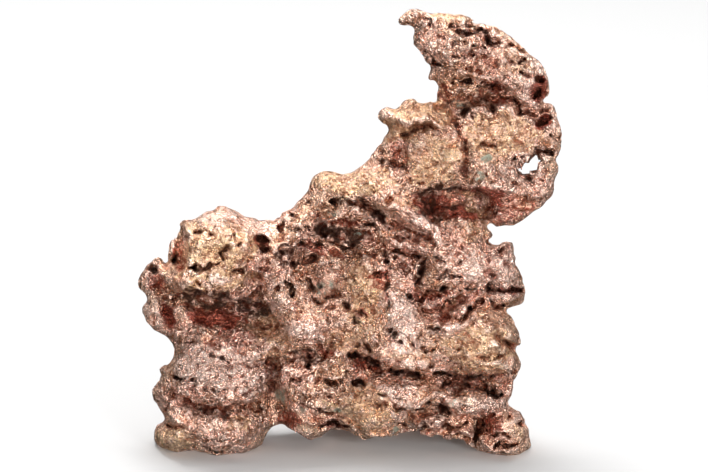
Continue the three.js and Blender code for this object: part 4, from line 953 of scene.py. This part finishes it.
SHAPE = tuple(int(n) for n in np.ceil((ROOM_HIGH - ROOM_LOW) / VOXEL))

points = grid_points(ROOM_LOW, SHAPE)
field = base_field(points)
field = np.maximum(field, underside(points) - points[:, 2]).reshape(SHAPE)
distance = redistance(field, ROOM_LOW)

ZONE_MAPS = {kind: zone_map(blobs) for kind, blobs in ZONES.items()}
DETAIL = detail_map()
EDGE = outline_map()


def on_front(u, v, w):
    """1 on the front half of the metal, 0 on the back, with a soft change between."""
    return smoothstep(-1.5, 1.0, w - middle_height(u, v))


def skin(spots, *kinds):
    """Share of each kind of skin at the spots."""
    u, v, w = to_face(spots)
    front = on_front(u, v, w)
    shares = {}
    for kind in kinds:
        size, seed, rarity = PATCHES[kind]
        patches = smoothstep(rarity, rarity + 0.35, smooth_noise(spots, size, seed))
        shares[kind] = front * look_up(ZONE_MAPS[kind], u, v) + (1 - front) * patches
    return shares


def streaks(spots, turn, stretch, size, seed):
    """Noise drawn out along one direction of the face."""
    u, v, w = to_face(spots)
    turn = math.radians(turn)
    along = (u * math.cos(turn) + v * math.sin(turn)) / stretch
    across = v * math.cos(turn) - u * math.sin(turn)
    return smooth_noise(np.stack([along, across, w], axis=1), size, seed)


def grain_rise(spots):
    """How far the grain, the pores and the single marks lift the surface, in mm."""
    u, v, w = to_face(spots)
    front = on_front(u, v, w)
    share = skin(spots, "smooth", "hackly", "spongy")
    rim = smoothstep(-3, -0.4, look_up(EDGE, u, v))
    grain = np.clip(0.8 + 0.55 * share["hackly"] - 0.8 * share["smooth"], 0.1, 1.4) * (1 - 0.55 * rim)
    warp = np.stack([smooth_noise(spots, 2.2, 50 + n) for n in range(3)], axis=1)
    facets = cell_noise(spots + 0.7 * warp, 1.55, 60)
    folds = ridged(streaks(spots + 0.6 * warp, -30, 2.4, 2.6, 71))
    crumple = ridged(smooth_noise(spots + 0.5 * warp, 1.6, 72))
    fine = smooth_noise(spots, 0.85, 73)
    lumps = smooth_noise(spots, 4.2, 70)
    pores = smoothstep(0.1, 0.5, smooth_noise(spots + 0.4 * warp, 1.25, 74)) * share["spongy"]
    rise = 0.35 * lumps * (1 - 0.5 * rim) + 0.45 * folds * (0.25 + 0.75 * grain) + 0.4 * crumple * grain
    rise += 0.9 * (0.5 - facets) * grain * (0.4 + 0.8 * share["hackly"])
    rise += 0.3 * fine * grain * (0.4 + 0.6 * front)
    rise -= 1.5 * pores
    rise -= 0.02
    return rise + front * look_up(DETAIL, u, v)


# The grain is worked out only near the surface.
near = np.flatnonzero(np.abs(distance.ravel()) < GRAIN_DEPTH)
rough = distance.ravel().copy()
rough[near] -= grain_rise(points[near])
rough = np.maximum(rough, -points[:, 2]).reshape(SHAPE)

# ---------------------------------------------------------------- the mesh


def build_mesh(name, verts, tris, quads):
    """A Blender mesh, in metres, of triangles and halved quads."""
    faces = np.concatenate([quads[:, [0, 1, 2]], quads[:, [0, 2, 3]], tris.reshape(-1, 3)])
    mesh = bpy.data.meshes.new(name)
    mesh.vertices.add(len(verts))
    mesh.vertices.foreach_set("co", (verts * MM).astype(np.float32).ravel())
    mesh.loops.add(faces.size)
    mesh.loops.foreach_set("vertex_index", faces.astype(np.int32).ravel())
    mesh.polygons.add(len(faces))
    mesh.polygons.foreach_set("loop_start", np.arange(0, faces.size, 3, dtype=np.int32))
    mesh.polygons.foreach_set("loop_total", np.full(len(faces), 3, np.int32))
    mesh.update()
    mesh.validate()
    return mesh


def thin_out(piece, count):
    """Merges the piece's triangles down to about count, least where the shape is sharp."""
    mesh = piece.data
    if len(mesh.polygons) <= count:
        return
    thin = piece.modifiers.new("thin", "DECIMATE")
    thin.ratio = count / len(mesh.polygons)
    evaluated = piece.evaluated_get(bpy.context.evaluated_depsgraph_get())
    mesh = bpy.data.meshes.new_from_object(evaluated)
    piece.modifiers.clear()
    piece.data = mesh
    mesh.name = piece.name


nugget = bpy.data.objects.new("copper_nugget", build_mesh("copper_nugget", *to_mesh(rough, ROOM_LOW)))
bpy.context.scene.collection.objects.link(nugget)
thin_out(nugget, TRIANGLES)
mesh = nugget.data
mesh.polygons.foreach_set("use_smooth", np.ones(len(mesh.polygons), bool))

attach(nugget, "root")
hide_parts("nugget")

# ---------------------------------------------------------------- how open each spot is

vertex = np.empty(len(mesh.vertices) * 3, np.float32)
mesh.vertices.foreach_get("co", vertex)
vertex = vertex.reshape(-1, 3) / MM


def box_blur(values, radius):
    """Running mean over a cube of 2 radius + 1 cells a side."""
    size = 2 * radius + 1
    for axis in range(3):
        pad = [(0, 0)] * 3
        pad[axis] = (radius + 1, radius)
        running = np.cumsum(np.pad(values, pad, mode="edge"), axis=axis, dtype=np.float64)
        high = np.take(running, np.arange(size, running.shape[axis]), axis=axis)
        low = np.take(running, np.arange(0, running.shape[axis] - size), axis=axis)
        values = ((high - low) / size).astype(np.float32)
    return values


def sample_grid(values, spots):
    """The grid's value at each spot, read between its points."""
    x = np.clip((spots - ROOM_LOW) / VOXEL, 0, np.array(SHAPE) - 1.001)
    low = x.astype(int)
    part = x - low
    value = np.zeros(len(spots))
    for corner in np.ndindex(2, 2, 2):
        step = np.array(corner)
        weight = np.prod(np.where(step, part, 1 - part), axis=1)
        i, j, k = (low + step).T
        value += weight * values[i, j, k]
    return value


def filled_share(radius_mm):
    """Share of metal in the room round each vertex: about half on flat metal, more in hollows."""
    radius = max(1, round(radius_mm / VOXEL / 1.7))
    metal = np.clip(0.5 - rough / VOXEL, 0, 1).astype(np.float32)
    return sample_grid(box_blur(box_blur(metal, radius), radius), vertex)


def add_attribute(name, values):
    """Stores a value for each vertex, for the material to read."""
    layer = mesh.attributes.new(name, "FLOAT", "POINT")
    layer.data.foreach_set("value", np.asarray(values, np.float32))


close_by = filled_share(1.0)
# Hollows, which the material darkens as oxide and painted shade.
add_attribute("cavity", smoothstep(0.52, 0.76, close_by))
# Open crests, which the material lightens as painted highlight, partly rubbed bright metal.
add_attribute("edge", smoothstep(0.46, 0.3, close_by))
add_attribute("deep", smoothstep(0.55, 0.8, filled_share(3.2)))
for kind, values in skin(vertex, "smooth", "gold", "pink", "red", "dark", "green").items():
    add_attribute(kind, values)
u, v, w = to_face(vertex)
# Cracks and deep pits, which the material darkens as painted shade and dirt.
add_attribute("crack_shade_and_dirt", look_up(crack_shade_and_dirt_map(), u, v) * smoothstep(-1, 1, w - middle_height(u, v)))

# ---------------------------------------------------------------- material

copper = bpy.data.materials.new("native_copper")
copper.use_nodes = True
nodes, links = copper.node_tree.nodes, copper.node_tree.links
shader = nodes["Principled BSDF"]
shader.inputs["Metallic"].default_value = 1.0

# The color sockets of a Mix node, which share their names with its other sockets.
MIX_FACTOR, MIX_A, MIX_B, MIX_RESULT = 0, 6, 7, 2


def plug(socket, value):
    """Sets a socket, or links it if the value is another node's output."""
    if isinstance(value, bpy.types.NodeSocket):
        links.new(value, socket)
    else:
        socket.default_value = value


def mix_colors(factor, low, high):
    """The low color where the factor is 0, the high one where it is 1."""
    made = nodes.new("ShaderNodeMix")
    made.data_type = "RGBA"
    for index, value in ((MIX_FACTOR, factor), (MIX_A, low), (MIX_B, high)):
        plug(made.inputs[index], value)
    return made.outputs[MIX_RESULT]


def spread(value, low, high, start=0.0, end=1.0):
    """Maps low..high to start..end."""
    made = nodes.new("ShaderNodeMapRange")
    for index, setting in enumerate((value, low, high, start, end)):
        plug(made.inputs[index], setting)
    return made.outputs["Result"]


def math_node(operation, a, b):
    made = nodes.new("ShaderNodeMath")
    made.operation = operation
    plug(made.inputs[0], a)
    plug(made.inputs[1], b)
    return made.outputs[0]


def mask(name):
    """The value stored for each vertex under this name."""
    made = nodes.new("ShaderNodeAttribute")
    made.attribute_name = name
    return made.outputs["Fac"]


place = nodes.new("ShaderNodeTexCoord").outputs["Object"]


def noise(per_metre, detail, roughness):
    made = nodes.new("ShaderNodeTexNoise")
    links.new(place, made.inputs["Vector"])
    for name, value in (("Scale", per_metre), ("Detail", detail), ("Roughness", roughness)):
        made.inputs[name].default_value = value
    return made.outputs["Fac"]


def cells(per_metre):
    made = nodes.new("ShaderNodeTexVoronoi")
    links.new(place, made.inputs["Vector"])
    made.inputs["Scale"].default_value = per_metre
    return made.outputs["Distance"]


def bump(height, distance, strength, below=None):
    made = nodes.new("ShaderNodeBump")
    made.inputs["Distance"].default_value = distance
    plug(made.inputs["Strength"], strength)
    links.new(height, made.inputs["Height"])
    if below is not None:
        links.new(below, made.inputs["Normal"])
    return made.outputs["Normal"]


def ragged(name, low=0.4, high=0.6):
    """A mask whose edge breaks up into fine grains."""
    return spread(math_node("ADD", mask(name), grains), low, high)


def product(a, b):
    return math_node("MULTIPLY", a, b)


def from_middle(value):
    """How far a noise is from its middle, in either direction."""
    return math_node("ABSOLUTE", math_node("SUBTRACT", value, 0.5), 0)


# Patterns that more than one part of the material reads. Scales are per metre.
folds = from_middle(noise(330, 3, 0.55))
relief = noise(560, 4, 0.68)
flakes = cells(1050)
grains = spread(noise(1300, 3, 0.7), 0.3, 0.7, -0.5, 0.5)
calm = spread(noise(190, 3, 0.6), 0.44, 0.6)
cracks = spread(from_middle(noise(230, 5, 0.62)), 0.004, 0.016, 1, 0)


def metal_color():
    """Bare metal with its pale patches and painted highlight, then the speckle in its grain with painted
    shade in its hollows and creases and painted glints, then what lies on it, with oxide, dirt and painted
    shade in recesses, hollows and cracks.
    """
    patches = spread(noise(120, 6, 0.6), 0.42, 0.6)
    mottle = spread(noise(420, 5, 0.65), 0.36, 0.62)
    color = mix_colors(patches, ROSE, TAN)
    color = mix_colors(product(ragged("gold", 0.3, 0.8), spread(mottle, 0, 1, 1, 0.6)), color, GOLD)
    # Pale patches, partly clean copper and partly painted highlight.
    color = mix_colors(product(ragged("pink", 0.3, 0.8), spread(mottle, 0, 1, 0.5, 1)), color, PALE_AND_PAINTED_HIGHLIGHT)
    # Painted highlight on the open crests, partly rubbed bright metal.
    color = mix_colors(product(ragged("edge", 0.4, 0.9), 0.6), color, PALE_AND_PAINTED_HIGHLIGHT)

    # Painted shade, partly dirt, in the low spots of the relief bump, weaker in calm and pale places.
    bump_hollow_dirt_and_shade = product(spread(relief, 0.455, 0.425), spread(calm, 0, 1, 0.9, 0.4))
    bump_hollow_dirt_and_shade = product(bump_hollow_dirt_and_shade, spread(mask("pink"), 0, 1, 1, 0.5))
    color = mix_colors(bump_hollow_dirt_and_shade, color, SPECKLE_AND_PAINTED_SHADE)
    color = mix_colors(product(cracks, 0.75), color, SPECKLE_AND_PAINTED_SHADE)
    color = mix_colors(spread(noise(2300, 3, 0.7), 0.56, 0.62, 0, 0.75), color, SPECKLE_AND_PAINTED_SHADE)
    # Painted shade along the creases of the fold bump.
    color = mix_colors(spread(folds, 0.02, 0.0, 0, 0.7), color, SPECKLE_AND_PAINTED_SHADE)
    # Painted glints: fine pale specks of base colour, fewer in deep hollows.
    painted_glints = product(spread(noise(1500, 3, 0.7), 0.57, 0.62), spread(mask("deep"), 0, 0.5, 0.4, 0))
    color = mix_colors(painted_glints, color, PALE_AND_PAINTED_HIGHLIGHT)
    # The strongest pale patches, partly clean copper and partly painted highlight.
    color = mix_colors(product(ragged("pink", 0.85, 1.5), 0.85), color, PALE_AND_PAINTED_HIGHLIGHT)

    # Red oxide and painted shade in recesses.
    color = mix_colors(product(ragged("red", 0.45, 0.95), 0.9), color, CUPRITE_AND_PAINTED_SHADE)
    # Near black: painted shadow in the dark zones of the front, dark stains in random patches on the back.
    soot_and_painted_shadow = product(mask("dark"), spread(noise(480, 4, 0.65), 0.42, 0.56, 0.35, 1.2))
    color = mix_colors(spread(math_node("ADD", soot_and_painted_shadow, grains), 0.45, 0.75, 0, 0.95), color, SOOT_AND_PAINTED_SHADOW)
    # Oxide and painted shade in every hollow.
    color = mix_colors(product(ragged("cavity"), 0.7), color, OXIDE_AND_PAINTED_SHADE)
    # Painted shade and dirt in the cracks and deep pits.
    color = mix_colors(product(ragged("crack_shade_and_dirt", 0.5, 0.75), 0.9), color, SOOT_AND_PAINTED_SHADOW)
    return mix_colors(product(ragged("green", 0.5, 0.7), 0.85), color, PATINA)


def metal_roughness():
    value = spread(noise(800, 4, 0.7), 0.35, 0.68, 0.12, 0.36)
    for covering, rise in ((mask("gold"), 0.06), (ragged("dark"), 0.2), (mask("green"), 0.4)):
        value = math_node("ADD", value, product(covering, rise))
    return value


def metal_normal():
    """Crumpled folds, then ever finer grain. Worn and calm places are smoother."""
    strength = product(spread(mask("smooth"), 0, 1, 1, 0.5), spread(calm, 0, 1, 1, 0.45))
    normal = bump(folds, 0.0105, strength)
    normal = bump(relief, 0.0013, strength, normal)
    normal = bump(math_node("SUBTRACT", 1, cracks), 0.0004, 1, normal)
    normal = bump(math_node("SUBTRACT", 1, flakes), 0.0006, strength, normal)
    normal = bump(noise(1700, 3, 0.7), 0.0007, spread(mask("smooth"), 0, 1, 1, 0.7), normal)
    return bump(cells(2300), 0.0005, strength, normal)


shader.inputs["Specular Tint"].default_value = SHEEN
links.new(metal_color(), shader.inputs["Base Color"])
links.new(metal_roughness(), shader.inputs["Roughness"])
links.new(metal_normal(), shader.inputs["Normal"])

mesh.materials.clear()
mesh.materials.append(copper)

# ---------------------------------------------------------------- studio

scene = bpy.context.scene
scene.view_settings.view_transform = "Standard"


def add_camera():
    data = bpy.data.cameras.new("camera")
    data.lens = LENS
    data.sensor_width = SENSOR
    data.clip_start = 0.01
    camera = bpy.data.objects.new("camera", data)
    away = VIEW_WIDTH * LENS / SENSOR
    camera.location = Vector((from_face(*VIEW_MIDDLE) + W_AXIS * away) * MM)
    camera.rotation_euler = (math.pi / 2 - FACE_LEAN, 0, 0)
    scene.collection.objects.link(camera)
    scene.camera = camera


def add_floor():
    """A pale matt floor, which the metal doesn't mirror: the lower sky takes its place there."""
    mesh = bpy.data.meshes.new("floor")
    mesh.from_pydata(FLOOR_CORNERS, [], [(0, 1, 2, 3)])
    floor = bpy.data.objects.new("floor", mesh)
    scene.collection.objects.link(floor)
    material = bpy.data.materials.new("floor")
    material.use_nodes = True
    paint = material.node_tree.nodes["Principled BSDF"]
    paint.inputs["Base Color"].default_value = FLOOR_COLOR
    paint.inputs["Roughness"].default_value = 0.9
    paint.inputs["Specular IOR Level"].default_value = 0.0
    mesh.materials.append(material)
    floor.visible_glossy = False


def add_sky():
    """A dim sky with broad soft lobes of light."""
    world = bpy.data.worlds.new("studio")
    world.use_nodes = True
    scene.world = world
    nodes, links = world.node_tree.nodes, world.node_tree.links
    sky = nodes["Background"]
    sky.inputs["Color"].default_value = (1, 1, 1, 1)
    direction = nodes.new("ShaderNodeTexCoord").outputs["Generated"]
    light = None
    for toward, low, high, strength in SKY_LOBES:
        facing = nodes.new("ShaderNodeVectorMath")
        facing.operation = "DOT_PRODUCT"
        links.new(direction, facing.inputs[0])
        facing.inputs[1].default_value = Vector(toward).normalized()
        lobe = nodes.new("ShaderNodeMapRange")
        lobe.interpolation_type = "SMOOTHSTEP"
        links.new(facing.outputs["Value"], lobe.inputs["Value"])
        for name, value in zip(("From Min", "From Max", "To Min", "To Max"), (low, high, 0, strength)):
            lobe.inputs[name].default_value = value
        together = nodes.new("ShaderNodeMath")
        together.inputs[1].default_value = SKY_BASE
        if light is not None:
            links.new(light, together.inputs[1])
        links.new(lobe.outputs["Result"], together.inputs[0])
        light = together.outputs[0]
    links.new(light, sky.inputs["Strength"])


def add_softbox(name, at, size, watts):
    data = bpy.data.lights.new(name, "AREA")
    data.shape = "RECTANGLE"
    data.size, data.size_y = size
    data.energy = watts
    light = bpy.data.objects.new(name, data)
    light.location = at
    light.rotation_euler = (Vector(SOFTBOX_AIM) - Vector(at)).to_track_quat("-Z", "Y").to_euler()
    scene.collection.objects.link(light)


add_camera()
add_floor()
add_sky()
for softbox in SOFTBOXES:
    add_softbox(*softbox)
